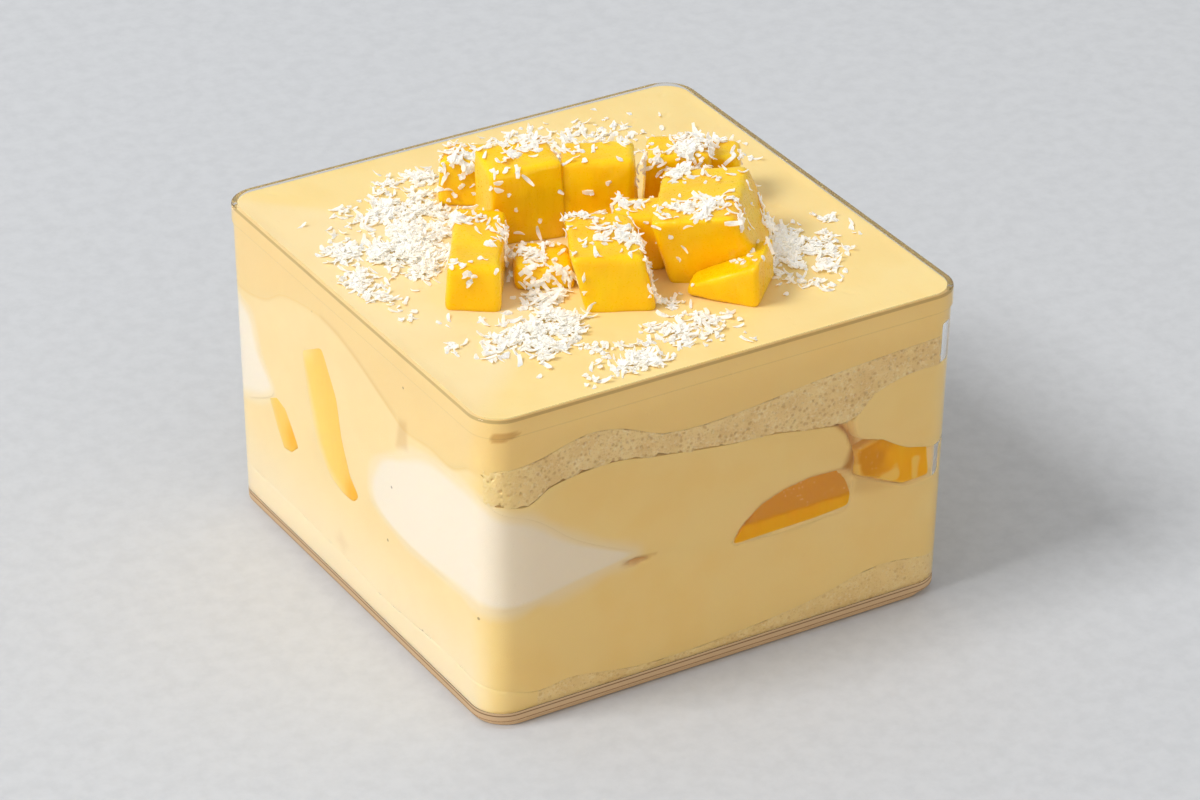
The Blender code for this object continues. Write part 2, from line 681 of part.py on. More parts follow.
def main():
    clear_scene()
    group = new_collection("mango_box_cake")
    cutters = new_collection("cutters")
    looks = {name: make_material(name) for name in LOOKS}
    make_box(group, looks["clear_plastic"])
    grown = make_inside_parts(group, cutters, looks)
    make_layers(group, cutters, looks, grown)
    make_top_mango(group, cutters, looks)
    add_coconut(group, cutters)


main()
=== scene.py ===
"""Looks of a mango layer cake in a clear square box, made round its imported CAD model.

Every length in this file is in millimetres until a mesh is made, +Z is up, the front wall faces
-Y and the left wall faces -X. Places on the wall are given as (distance, height): 0-100 runs
along the front wall from the front left corner, 100-200 along the right wall, 200-300 along
the back wall and 300-400 along the left wall.
"""
import json
import math
import random

import bmesh
import bpy
import numpy as np
from mathutils import Matrix, Vector
from mathutils.bvhtree import BVHTree

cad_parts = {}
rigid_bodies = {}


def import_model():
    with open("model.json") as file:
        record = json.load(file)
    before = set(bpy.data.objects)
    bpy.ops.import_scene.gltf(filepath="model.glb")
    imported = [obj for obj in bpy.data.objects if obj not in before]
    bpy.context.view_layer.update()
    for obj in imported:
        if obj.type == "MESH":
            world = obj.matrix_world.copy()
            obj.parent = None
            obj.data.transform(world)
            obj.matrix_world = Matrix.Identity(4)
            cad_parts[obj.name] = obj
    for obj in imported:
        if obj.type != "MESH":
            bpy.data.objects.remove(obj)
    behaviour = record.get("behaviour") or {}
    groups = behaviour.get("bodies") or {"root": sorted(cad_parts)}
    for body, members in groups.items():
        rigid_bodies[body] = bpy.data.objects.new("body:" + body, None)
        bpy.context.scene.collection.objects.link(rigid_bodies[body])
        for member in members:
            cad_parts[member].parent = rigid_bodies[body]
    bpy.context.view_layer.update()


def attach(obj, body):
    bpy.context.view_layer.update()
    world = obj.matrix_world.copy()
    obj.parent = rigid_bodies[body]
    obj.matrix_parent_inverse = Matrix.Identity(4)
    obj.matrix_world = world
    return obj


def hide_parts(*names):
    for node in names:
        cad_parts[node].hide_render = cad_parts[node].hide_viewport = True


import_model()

MM = 0.001


def rgb(red, green, blue):
    """Linear colour from the usual 0-255 numbers."""
    def linear(value):
        value /= 255
        return value / 12.92 if value <= 0.04045 else ((value + 0.055) / 1.055) ** 2.4
    return (linear(red), linear(green), linear(blue), 1.0)


YELLOW_CREAM = rgb(246, 219, 150)
WHITE_CREAM = rgb(244, 233, 214)

# The box, as in the CAD model
RIM_WIDTH = 100.0
BASE_WIDTH = 97.8
BOX_HEIGHT = 64.5
RIM_BAND = 3.7
RIM_STEP = 0.15
WALL = 1.0
FLOOR = 3.2
FOOT_HEIGHT = 1.2
FOOT_INSET = 1.2
CORNER_RADIUS = 6.2
BASE_FILLET = 2.0
ARC_STEPS = 4
PAINTED_FOOT_LINES = [(-0.1, 0.1), (1.8, 2.0), (2.85, 3.1)]   # heights where painted dark lines mark the foot's edges: painted shade for the darkness seen refracted through the plastic
FOOT_RINGS = (1.75, 1.85, 1.95, 2.05, 2.8, 2.9, 3.05, 3.15, 3.5, 3.6)  # rings that keep them crisp
PAINTED_GLOW_TOP = 3.55                 # the foot's painted glow ends here; a warm tone standing in for light carried through the plastic
CREAM_TOP = BOX_HEIGHT - 0.3
SPONGE_SETBACK = 2.4
SOAKED_TOP = 20.0               # sponge below this height is soaked with cream
LOOP = 400.0                    # distance once round the wall

# How far the food reaches into the wall, so that it touches the plastic. What lies in front
# where two pieces meet reaches a little further.
CREAM_REACH = 0.10
SPONGE_REACH = 0.13
LUMP_REACH = 0.16

# Points round a layer's face, and where its rings lie between the wall (1) and the middle (0)
CREAM_COLUMNS = 640
SPONGE_COLUMNS = 1200
INWARD = (0.99, 0.96, 0.85, 0.5, 0.03)
SURFACE_INWARD = np.concatenate([[0.997, 0.992], np.linspace(0.985, 0.02, 64)])

# Pores of the cut sponge: spacing, depth, seed, share of them that stay closed, and the inner
# and outer radius, each as what all have and what the largest one adds
PORES = [(1.5, 0.3, 2, 0.4, (0.05, 0.12), (0.18, 0.25)),
         (0.7, 0.12, 9, 0.5, (0.05, 0.0), (0.24, 0.0))]

# Heights round the wall
BOTTOM_SPONGE_TOP = [(3, 8), (10, 6.3), (17, 7), (32, 4.8), (50, 5), (70, 7), (85, 10), (100, 8.5),
                     (130, 8.5), (150, 6.5), (170, 8), (200, 7.2), (240, 8), (260, 7), (300, 9),
                     (340, 9), (360, 8), (385, 9.2)]
LOWER_CREAM_TOP = [(3, 25), (10, 24.6), (17, 26.5), (30, 28.2), (50, 25.3), (56, 24.2), (72, 24.2),
                   (79, 29.5), (87, 27.3), (94, 25), (120, 27), (140, 24.5), (160, 26.5), (185, 25),
                   (225, 24.5), (250, 27), (290, 24), (315, 26), (330, 23), (345, 24.5),
                   (355, 26.5), (370, 24.4), (390, 25)]
SPONGE_BOTTOM = [(3, 46.5), (8, 45.6), (13, 48.2), (25, 49.5), (35, 48), (50, 46), (60, 45.3),
                 (70, 43.6), (77, 43), (84, 45.3), (100, 45), (118, 47), (145, 43.5), (180, 47),
                 (220, 44), (260, 47.5), (300, 46), (340, 45), (380, 47)]
SPONGE_TOP = [(3, 54), (10, 54.5), (20, 56.8), (27, 56), (37, 52.3), (50, 52), (70, 54), (85, 55),
              (100, 55.5), (112, 54.5), (130, 56), (150, 54), (170, 55.5), (195, 54), (230, 53.5),
              (250, 55.5), (290, 53), (340, 53), (380, 54)]
CREAM_SEAM = [(5, 50.5), (50, 49), (100, 50.5), (150, 49), (200, 50.5), (250, 51.5), (290, 49.5),
              (305, 48), (315, 50), (322, 54), (330, 56), (340, 57), (352, 54.8), (362, 51.5),
              (370, 49), (380, 50), (388, 50), (395, 53)]

# Lumps pressed against the wall: corners of the outline, depth into the cake, how worn the
# corners are, groove in the cream round it and radius of its edge. A lump may also recede above a
# height, at a slope, with painted shade on the part that recedes, or have a veil of cream that fades
# along the wall and is clear at the tip, or a patchy film of cream smeared over it, with painted
# shade that ends along the wall.
HIDDEN_MANGO = dict(depth=10, soft=12, groove=0.6, look="mango", edge=0.7)
LUMPS = {
    "cream_white_front": dict(
        outline=[(354, 28), (357, 35), (360, 39), (367, 41.5), (372, 45), (380, 48), (390, 48),
                 (395, 49.2), (400, 46), (410, 42.5), (417, 36), (428, 30.5), (433, 29), (426, 28),
                 (417, 26.5), (410, 24.8), (390, 25), (370, 24.5), (360, 25.5)],
        depth=19, soft=26, groove=0.0, look="white_cream", edge=0.01),
    "cream_white_back": dict(
        outline=[(284, 31), (290, 40), (297, 45), (304, 46), (309, 44), (312, 36), (318, 31),
                 (314, 28), (305, 24), (295, 24), (284, 29)],
        depth=16, soft=26, groove=0.0, look="white_cream", edge=0.01),
    "cream_right": dict(
        outline=[(77.6, 43.5), (82, 48), (90, 50), (115, 50), (124, 47), (126, 44), (120, 38),
                 (110, 34), (97, 32), (93, 32.5), (88, 34.5), (83, 38), (79, 38.2)],
        depth=14, soft=22, groove=0.3, look="yellow_cream", edge=0.6),
    "mango_slice_front": dict(
        outline=[(52, 24.5), (54, 27.4), (58, 30.6), (63, 32.4), (69, 33.3), (76.4, 33),
                 (77.8, 30.6), (78, 28.4), (77.6, 25.4), (70, 24.8)],
        depth=10, soft=8, groove=0.4, look="mango", edge=0.3, recede=(27.6, 0.3)),
    "mango_chunk_right": dict(
        outline=[(79.4, 31), (78.6, 36.4), (85, 38.2), (88, 36.4), (95, 35.4), (96, 26.5),
                 (90, 26.2), (84, 29)],
        depth=11, soft=8, groove=0.35, look="mango", edge=0.8, smear_and_shade=(83, 89)),
    "mango_slab_left": dict(
        outline=[(329.8, 46), (338, 50.4), (343.3, 42.3), (345, 34), (348, 27.5), (351.3, 25),
                 (349, 22.8), (345, 22.6), (339.5, 23.8), (334.5, 28.5), (332, 36)],
        depth=10, soft=10, groove=0.0, look="mango", edge=0.12, veil=(329, 344),
        tip=(350, 23.5)),
    "mango_cube_left": dict(
        outline=[(315, 28.8), (318, 30.2), (321.5, 29.4), (324, 26.6), (326.4, 23.4), (323.5, 21),
                 (320.3, 20.4), (318, 23.5)],
        depth=10, soft=6, groove=0.05, look="mango", edge=0.15, veil=(313, 320), tip=(326, 24)),
    "mango_slice_side": dict(HIDDEN_MANGO, outline=[(140.6, 24), (140, 32), (163, 35.2), (163.6, 27.4)]),
    "mango_cube_side": dict(HIDDEN_MANGO, outline=[(175.6, 34), (186, 38.8), (190.2, 30), (179.8, 25.2)]),
    "mango_slice_back": dict(HIDDEN_MANGO, outline=[(252.4, 24.2), (253.4, 32), (275.4, 33.8), (274.6, 26)]),
    "mango_cube_back": dict(HIDDEN_MANGO, outline=[(220, 34.8), (229, 41), (236, 31.2), (227, 25.2)]),
}

# Air pockets beside the lumps: outline, and how far the layers draw back from the wall there
POCKETS = [
    dict(outline=[(78, 31), (78.5, 34.5), (77.6, 38), (76.2, 41), (73.6, 43.4), (90, 43), (99, 43),
                  (99, 26), (90, 25.4), (84, 28.4)],
         depth=1.6, soft=1.6, layers=("cream_middle",)),
    dict(outline=[(52.4, 25), (54, 27.9), (58, 31), (63, 32.8), (69, 33.7), (76.6, 33.4),
                  (78.2, 30.6), (78, 25.4)],
         depth=1.6, soft=0.8, layers=("cream_middle",)),
    dict(outline=[(96.6, 45.5), (97, 58), (103.5, 58), (103.5, 45.5)], depth=0.7, soft=1.8,
         layers=("cream_top", "sponge_upper")),
    dict(outline=[(27.3, 27.2), (30.5, 28.2), (35, 27.7), (31, 26.8)], depth=0.6, soft=0.5,
         layers=("cream_middle", "cream_lower")),
]

# Soft brown marks in the cream: painted shade where it draws back from the wall into notches, slits, gaps and
# creases, and brown where mango shows through
SHADE_AND_MANGO_MARKS = [
    dict(outline=[(366.5, 43.5), (368.2, 50), (371, 50.6), (371, 45)], amount=0.3, soft=0.9),
    dict(outline=[(338, 57.4), (345, 57), (352, 55.3), (362, 52), (367, 50.4), (367, 49.7),
                  (361.5, 51.2), (352, 54.4), (345, 56.1), (338, 56.6)], amount=0.18, soft=0.6),
    dict(outline=[(27, 27.2), (30.5, 28.2), (35.5, 27.7), (31, 26.8)], amount=0.8, soft=0.3),
    dict(outline=[(77.6, 32.5), (79.2, 36), (79, 39), (77.6, 41.8), (74, 44.2), (70, 45), (74, 43),
                  (76.4, 40.6), (77.4, 38), (77, 35), (75.5, 33.6)], amount=1.0, soft=0.6),
    dict(outline=[(75.8, 33.4), (79.5, 31), (81, 36.5), (80, 40), (77.8, 41.5), (77.6, 38)],
         amount=0.75, soft=0.7),
    dict(outline=[(51.5, 24.4), (54, 28.2), (58, 31.5), (63, 33.2), (69, 34.1), (77, 33.8), (77, 33),
                  (69, 33.2), (63, 32.3), (58, 30.6), (54, 27.4)], amount=0.4, soft=0.3),
    dict(outline=[(341, 11), (343, 13.5), (346, 12), (344, 9.5)], amount=0.15, soft=1.5),
    dict(outline=[(78.4, 27.6), (79, 32), (84, 29.6), (88, 26.6), (84, 26.6)], amount=0.25, soft=1.2),
]

# The golden sliver under the rim: its middle, half its length and thickness, and how it slopes
# and tapers along its length
SLIVER_PLACE = (3.2, 60.8)
SLIVER_REACH = (3.9, 1.1)
SLIVER_SLOPE = 0.09
SLIVER_TAPER = 0.13

# Mango chunks on the cream, as in the CAD model
MANGO_TOP = {
    "mango_slab_west": dict(place=(-25, -2.5), size=(10.5, 23, 9.4), turn=(-32, 1, 3), narrow=(0.88, 0.98)),
    "mango_block_west": dict(place=(-7.6, 11.4), size=(14.2, 11.6, 16),
                             turn=(-12, 3, -2), narrow=(0.94, 0.92)),
    "mango_block_middle": dict(place=(-4, -17), size=(13, 19, 11.2), turn=(-25, 1, 0), lean=(-2.7, 0)),
    "mango_block_east": dict(place=(18.4, -17.8), size=(17.3, 19, 14.8), turn=(-38, -4, -22),
                             lean=(1, -2.3), narrow=(0.88, 1.3), wedge=-0.15),
    "mango_block_rear": dict(place=(5.6, 5), size=(14.2, 9.5, 15.8),
                             turn=(-33, 0, -2), narrow=(0.92, 0.93)),
    "mango_wedge_east": dict(place=(14, -27), size=(13.8, 13, 6.2),
                             turn=(-47, 0, 2), lean=(0, -1.2), wedge=0.6),
    "mango_chunk_northwest": dict(place=(-9.8, 27.8), size=(9.8, 9.8, 9.4),
                                  turn=(-35, -2, -1), narrow=(0.9, 0.9)),
    "mango_block_northeast": dict(place=(21.8, 3.6), size=(13.1, 11, 13.4),
                                  turn=(-31, -1, 0), narrow=(0.9, 0.9)),
    "mango_chunk_east": dict(place=(30.3, 3.7), size=(8, 8.3, 10.8), turn=(-33, -1, 5), narrow=(0.9, 0.9)),
    "mango_chunk_middle": dict(place=(5, -10), size=(10, 8.6, 11.5),
                               turn=(-34, 0, -1), narrow=(0.92, 0.91)),
    "mango_chunk_low": dict(place=(-13.2, -6.3), size=(11, 11.7, 4.4),
                            turn=(-26, -1, 2), narrow=(0.91, 0.91)),
}
CHUNK_ROUND = 1.1
CHUNK_UNEVEN = 0.35             # how far a corner may stray
CHUNK_GRID = 0.42               # cells of the fine mesh
CHUNK_SINK = 0.6                # a chunk's foot below the cream's surface

# Coconut clumps on the cream: middle, reach, and how thickly the shreds lie at the middle
CREAM_CLUMPS = [
    (-24, 20, 7, 1.6), (-28, 17, 6, 1.6), (-30, 11, 5, 1.4), (-22, 27, 5, 1.2), (-25, 30, 4, 1.0),
    (-18, 35, 5, 1.2), (-30, 29, 3, 0.9), (-33, 33, 1.6, 0.8), (-41, 19, 3, 0.9), (-36, 15, 4, 1.1),
    (-37, 10, 4, 0.7), (-41, 9, 3, 0.9), (-45, 6, 3, 1.2), (-43, 0, 2.6, 1.2), (-43, -7, 2.2, 0.9),
    (-47, 11, 1.6, 0.6), (-31, 6, 4, 1.2), (-14, 37, 3, 0.9), (-35, 21, 8, 0.2),
    (-40, -13, 2, 0.25), (-16, -16, 4, 1.6), (-20, -22, 5, 1.8), (-29, -22, 4, 1.2),
    (-33, -26, 3, 0.9), (-25, -27, 5, 1.1), (-28, -32, 4, 1.0), (-21, -27, 4, 1.3),
    (-22, -35, 3, 0.9), (-37, -28, 1.5, 0.6), (-7, -33, 2, 0.7), (-16, -41, 4.5, 1.9),
    (-20, -38, 3, 1.2), (-25, -46, 2.5, 1.2), (-17, -45, 3, 1.0), (-12, -43, 2.5, 0.6),
    (-40, -22, 1.8, 0.6), (-3, -38, 3, 1.2), (2, -36, 3.5, 1.0), (5, -45, 1.6, 0.7),
    (8, -37, 2, 0.7), (-1, -42, 2, 0.7), (3, -40, 2, 0.7), (29, -19, 5, 1.6), (27, -26, 4, 1.4),
    (33, -27, 4, 1.3), (37, -22, 3, 1.0), (41, -19, 3, 0.9), (31, -31, 3, 1.2), (26, -33, 3, 0.9),
    (28, -37, 1.6, 0.7), (43, -14, 2, 0.7), (47, -19, 1.2, 0.6), (33, -15, 3, 0.9),
    (24, 36, 7, 0.4), (36, 22, 5, 0.35), (25, 43, 1.6, 1.0), (8, 38, 8, 0.4), (44, 15, 3, 0.25),
]
# And on the chunks, with their middle's height too
CHUNK_CLUMPS = [
    (-12, 26, 74, 5, 0.9), (-23, 5, 73, 4, 0.5), (-24, -6, 73, 4, 0.2), (-19, -3, 73, 3, 0.4),
    (-32, -11, 72, 3, 0.3), (-27, -3, 70, 4, 0.25), (-9, 15, 80, 5, 0.5), (-4, 13, 80, 4, 0.4),
    (-13, 7, 77, 3, 0.35), (-9, 6, 71, 4, 0.25), (7, 9, 80, 5, 0.35), (3, 12, 78, 5, 0.65),
    (14, 12, 76, 5, 0.7), (3, -7, 76, 4, 0.8), (-7, -6, 76, 4, 0.6), (1, 1, 70, 4, 0.25),
    (-8, -14, 75, 4, 0.45), (-3, -18, 75, 4, 0.75), (-11, -19, 75, 3, 0.35), (-3, -24, 74, 3, 0.5),
    (-10, -24, 71, 3, 0.15), (-15, -4, 69, 4, 1.2), (-17, -11, 66, 4, 1.0), (3, -19, 66, 4, 0.9),
    (-1, -27, 66, 3, 1.0), (16, 1, 75, 4, 0.8), (16, -4, 77, 4, 0.8), (21, -1, 77, 4, 0.8),
    (25, 1, 77, 4, 0.5), (6, -17, 78, 4, 0.7), (9, -22, 79, 4, 0.8), (13, -22, 80, 4, 0.8),
    (7, -26, 76, 4, 0.3), (22, -12, 79, 4, 0.2), (13, -28, 79, 4, 0.5), (15, -31, 75, 3, 0.4),
    (18, -29, 71, 3, 0.4), (27, 6, 77, 5, 0.9), (30, 4, 75, 4, 0.7),
]
CLUMP_HEIGHT = 65.0             # of those on the cream
SHRED_KINDS = 14
SHRED_LENGTH = 2.2
SHRED_WIDTH = 0.95
SHRED_THICK = 0.18
SHRED_STEPS = 4
SHREDS_EACH = 2.3e6             # shreds to the square metre where a clump's thickness is 1
HIGHEST = 81.2                  # no shred stands higher
SEED = 11

# Light and camera
KEY_PLACE = (-2.0, 0.2, 2.3)
KEY_SIZE = (1.0, 1.0)
KEY_POWER = 61.0
KEY_COLOUR = (1.0, 1.0, 1.0)
FILL_PLACE = (-0.2, -2.6, 0.16)
FILL_SIZE = (1.0, 0.3)
FILL_POWER = 8.0
FILL_COLOUR = (1.0, 0.76, 0.44)
SKY = 0.61
SKY_HIGH = (0.99, 1.0, 1.01, 1.0)
SKY_LOW = (1.0, 0.94, 0.86, 1.0)
CAMERA_PLACE = (-0.40559, -0.68053, 0.48578)
CAMERA_TURN = (-30.979, 60.138, 0.403)   # round the box, up from straight down, and roll
LENS = 146.835


# ---------------------------------------------------------------- node trees

class Value:
    """An output of a node tree that is added, taken away and multiplied like a number."""

    def __init__(self, tree, output):
        self.tree, self.output = tree, output

    def math(self, operation, *others, swap=False):
        ends = [self, *others]
        if swap:
            ends.reverse()
        return self.tree.add("ShaderNodeMath", {"operation": operation}, dict(enumerate(ends)))

    def beside(self, name):
        """Another output of the same node."""
        return Value(self.tree, self.output.node.outputs[name])

    def __add__(self, other):
        return self.math("ADD", other)

    __radd__ = __add__

    def __sub__(self, other):
        return self.math("SUBTRACT", other)

    def __rsub__(self, other):
        return self.math("SUBTRACT", other, swap=True)

    def __mul__(self, other):
        return self.math("MULTIPLY", other)

    __rmul__ = __mul__


class Tree:
    """A shader or geometry node tree that is built from expressions."""

    def __init__(self, tree):
        self.tree = tree

    def add(self, kind, settings=None, inputs=None, output=0):
        """A node of a type, its settings made first, and its inputs given values or links."""
        node = self.tree.nodes.new(kind)
        for name, value in (settings or {}).items():
            setattr(node, name, value)
        for key, value in (inputs or {}).items():
            if isinstance(value, Value):
                self.tree.links.new(value.output, node.inputs[key])
            else:
                node.inputs[key].default_value = value
        return Value(self, node.outputs[output]) if len(node.outputs) else None

    def places(self, scale=(1, 1, 1)):
        """Object coordinates in millimetres, stretched."""
        here = self.add("ShaderNodeTexCoord", output="Object")
        return self.add("ShaderNodeMapping", {}, {"Vector": here, "Scale": tuple(s / MM for s in scale)})

    def noise(self, places, scale, detail=2.0, rough=0.5):
        return self.add("ShaderNodeTexNoise", {}, {"Vector": places, "Scale": scale, "Detail": detail,
                                                   "Roughness": rough})

    def cells(self, places, scale):
        """Distance to the nearest of many scattered points."""
        return self.add("ShaderNodeTexVoronoi", {}, {"Vector": places, "Scale": scale})

    def step(self, value, low, high):
        """0 below low, 1 above high, smooth between them."""
        return self.add("ShaderNodeMapRange", {"interpolation_type": "SMOOTHSTEP"},
                        {"Value": value, "From Min": low, "From Max": high})

    def attribute(self, name):
        return self.add("ShaderNodeAttribute", {"attribute_name": name}, output="Fac")

    def mix(self, share, first, second):
        return self.add("ShaderNodeMix", {"data_type": "RGBA"}, {0: share, 6: first, 7: second}, output=2)

    def layered(self, colour, *layers):
        """A colour with others laid over it in turn, each as (share, colour)."""
        for share, over in layers:
            colour = self.mix(share, colour, over)
        return colour

    def bump(self, height, strength, distance):
        return self.add("ShaderNodeBump", {}, {"Height": height, "Strength": strength,
                                               "Distance": distance * MM})

    def finish(self, values):
        """The material's surface, from the values of its sockets."""
        surface = self.add("ShaderNodeBsdfPrincipled", {}, values)
        self.add("ShaderNodeOutputMaterial", {}, {"Surface": surface})


def new_material(name):
    material = bpy.data.materials.new(name)
    material.use_nodes = True
    material.node_tree.nodes.clear()
    return material, Tree(material.node_tree)


# ---------------------------------------------------------------- materials

def plastic_material():
    """Clear plastic; shadow rays pass, so that light reaches the food behind it. Its edges carry painted dark
    lines, painted shade for the darkness seen refracted through them, and its foot a painted warm glow that
    stands in for light carried through the plastic.
    """
    material, tree = new_material("clear_plastic")
    scuffs = tree.step(tree.noise(tree.places(), 0.35, 3.0), 0.45, 0.75)
    # Painted shade: dark lines along the rim, the band's step and the foot's edges stand in for the darkness
    # seen refracted through the plastic there
    painted_edges = tree.attribute("rim")
    glass_with_painted_edges = tree.mix(painted_edges, rgb(247, 247, 246), rgb(96, 76, 48))
    glass = tree.add("ShaderNodeBsdfPrincipled", {}, {
        "Base Color": glass_with_painted_edges, "Roughness": 0.015 + scuffs * 0.02, "IOR": 1.3,
        "Specular IOR Level": 0.1, "Transmission Weight": 1.0})
    # The foot's painted glow: a warm diffuse tone standing in for light carried through the plastic, darker
    # along the painted dark lines
    tone = tree.mix(painted_edges, rgb(232, 200, 160), rgb(128, 92, 56))
    foot = tree.add("ShaderNodeBsdfDiffuse", {}, {"Color": tone})
    seen = tree.add("ShaderNodeMixShader", {}, {0: tree.attribute("painted_foot_glow") * 0.7, 1: glass, 2: foot})
    through = tree.add("ShaderNodeBsdfTransparent", {}, {"Color": rgb(238, 237, 236)})
    shadow = tree.add("ShaderNodeLightPath", output="Is Shadow Ray")
    surface = tree.add("ShaderNodeMixShader", {}, {0: shadow, 1: seen, 2: through})
    tree.add("ShaderNodeOutputMaterial", {}, {"Surface": surface})
    return material


def cream_material(name):
    """Whipped cream: a soft, slightly shiny surface with a few tiny bubbles and specks."""
    material, tree = new_material(name)
    places = tree.places()
    drift = tree.noise(places, 0.09, 2.0)
    fine = tree.noise(places, 0.9, 3.0)
    specks = 1 - tree.step(tree.cells(places, 0.09), 0.022, 0.034)
    # The darker golden tone is painted shade under the rim band and along the left seam
    colour = tree.layered(
        YELLOW_CREAM, (tree.step(drift, 0.35, 0.7), rgb(245, 215, 142)),
        # Paleness is white cream blended in, and on the left wall a painted sheen standing in for the
        # plastic's reflection
        (tree.attribute("pale"), WHITE_CREAM), (tree.attribute("painted_shade"), rgb(240, 206, 132)),
        # Golden-brown: the mango sliver, and painted shade in notches, slits, creases and the deeper grooves
        (tree.attribute("flesh"), rgb(192, 134, 46)), (specks * 0.6, rgb(90, 55, 20)))
    bubbles = 1 - tree.step(tree.cells(places, 0.5), 0.1, 0.2)
    relief = fine * 0.3 + drift - bubbles * 0.25
    tree.finish({"Base Color": colour, "Roughness": 0.38 + fine * 0.18, "IOR": 1.42,
                 "Subsurface Weight": 0.3, "Subsurface Radius": (1.0, 0.8, 0.5), "Subsurface Scale": 0.9 * MM,
                 "Normal": tree.bump(relief, 0.5, 0.12)})
    return material


def sponge_material():
    """Sponge cake: an open crumb of fine pores."""
    material, tree = new_material("sponge")
    places = tree.places()
    blotch = tree.noise(places, 0.22, 3.0)
    soaked = tree.attribute("soaked")
    large = tree.cells(places, 0.85)
    large = 1 - tree.step(large - large.beside("Color") * 0.3, -0.05, 0.2)
    small = (1 - tree.step(tree.cells(places, 2.1), 0.1, 0.45)) * 0.5
    pores = large.math("MAXIMUM", small)
    crumbs = tree.step(tree.noise(places, 1.3, 4.0, 0.7), 0.5, 0.68)
    colour = tree.layered(
        rgb(246, 222, 166), (tree.step(blotch, 0.35, 0.7), rgb(236, 207, 148)),
        # The pores are painted darker: painted shade in the hollows of the crumb
        (crumbs * 0.5, rgb(255, 244, 212)), (pores * 0.4, rgb(180, 128, 66)),
        # Paleness on the low left wall is a painted sheen standing in for the plastic's reflection
        (soaked, YELLOW_CREAM), (tree.attribute("pale"), WHITE_CREAM))
    relief = tree.noise(places, 1.8, 4.0, 0.6) - pores
    tree.finish({"Base Color": colour, "Roughness": 0.8 + blotch * 0.15, "Subsurface Weight": 0.25,
                 "Subsurface Radius": (1.0, 0.7, 0.35), "Subsurface Scale": 1.2 * MM,
                 "Normal": tree.bump(relief * (1 - soaked), 0.5, 0.3)})
    return material


def mango_material(name, shine, main, second):
    """Ripe mango: wet, glossy flesh with fine fibres that run up the chunk."""
    material, tree = new_material(name)
    places = tree.places()
    fibres = tree.noise(tree.places((1.0, 1.0, 0.18)), 1.1, 3.0)
    blotch = tree.noise(places, 0.12, 2.0)
    grain = tree.noise(places, 2.4, 2.0)
    shade = tree.attribute("shade")
    glints = 1 - tree.step(tree.cells(places, 1.5), 0.12, 0.25)
    glints = glints * tree.step(tree.noise(places, 0.3), 0.48, 0.6)
    colour = tree.layered(
        main, (tree.step(blotch, 0.3, 0.75), second),
        (tree.step(fibres, 0.45, 0.8) * 0.25, rgb(255, 214, 40)), (shade, rgb(212, 144, 10)),
        (glints * shade * 0.7, rgb(252, 222, 160)), (tree.attribute("veil"), rgb(252, 216, 116)),
        (tree.attribute("film"), rgb(248, 223, 162)))
    tree.finish({"Base Color": colour, "Roughness": 0.2 + grain * 0.2, "IOR": 1.42,
                 "Specular IOR Level": shine, "Subsurface Weight": 0.6,
                 "Subsurface Radius": (1.0, 0.85, 0.25), "Subsurface Scale": 1.6 * MM,
                 "Normal": tree.bump(fibres + grain * 0.25, 0.6, 0.15)})
    return material


def coconut_material():
    """Dry coconut shreds, no two quite the same white, with a faint painted glow that lifts the shade between
    the shreds.
    """
    material, tree = new_material("coconut")
    grain = tree.noise(tree.places(), 2.2, 3.0)
    colour = tree.mix(tree.attribute("tone"), rgb(255, 254, 250), rgb(252, 246, 230))
    tree.finish({"Base Color": colour, "Roughness": 0.55 + grain * 0.2, "Subsurface Weight": 0.6,
                 "Subsurface Radius": (1.0, 0.9, 0.8), "Subsurface Scale": 1.2 * MM,
                 "Emission Color": rgb(255, 250, 240), "Emission Strength": 0.08,
                 "Normal": tree.bump(grain, 0.5, 0.08)})
    return material


def paper_material():
    """Pale greaseproof paper with a faint mottle."""
    material, tree = new_material("paper")
    mottle = tree.noise(tree.places(), 0.25, 5.0, 0.65)
    colour = tree.mix(tree.step(mottle, 0.3, 0.75), rgb(205, 207, 210), rgb(198, 200, 203))
    tree.finish({"Base Color": colour, "Roughness": 0.8 + mottle * 0.15, "Specular IOR Level": 0.05,
                 "Normal": tree.bump(mottle, 0.3, 0.1)})
    return material


# ---------------------------------------------------------------- meshes

def add_object(name, data):
    thing = bpy.data.objects.new(name, data)
    bpy.context.scene.collection.objects.link(thing)
    return thing


def place_piece(piece, node):
    """Put a piece in the place of its CAD node."""
    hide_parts(node)
    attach(piece, "root")
    return piece


def tube_faces(rows, columns):
    """Quads of a tube of points in rows, closed round its columns and over both ends."""
    here = np.arange(columns)
    after = (here + 1) % columns
    row = np.arange(rows - 1)[:, None] * columns
    sides = np.stack([row + here, row + after, row + columns + after, row + columns + here], -1)
    return sides.reshape(-1, 4).tolist() + [here[::-1].tolist(), (here + (rows - 1) * columns).tolist()]


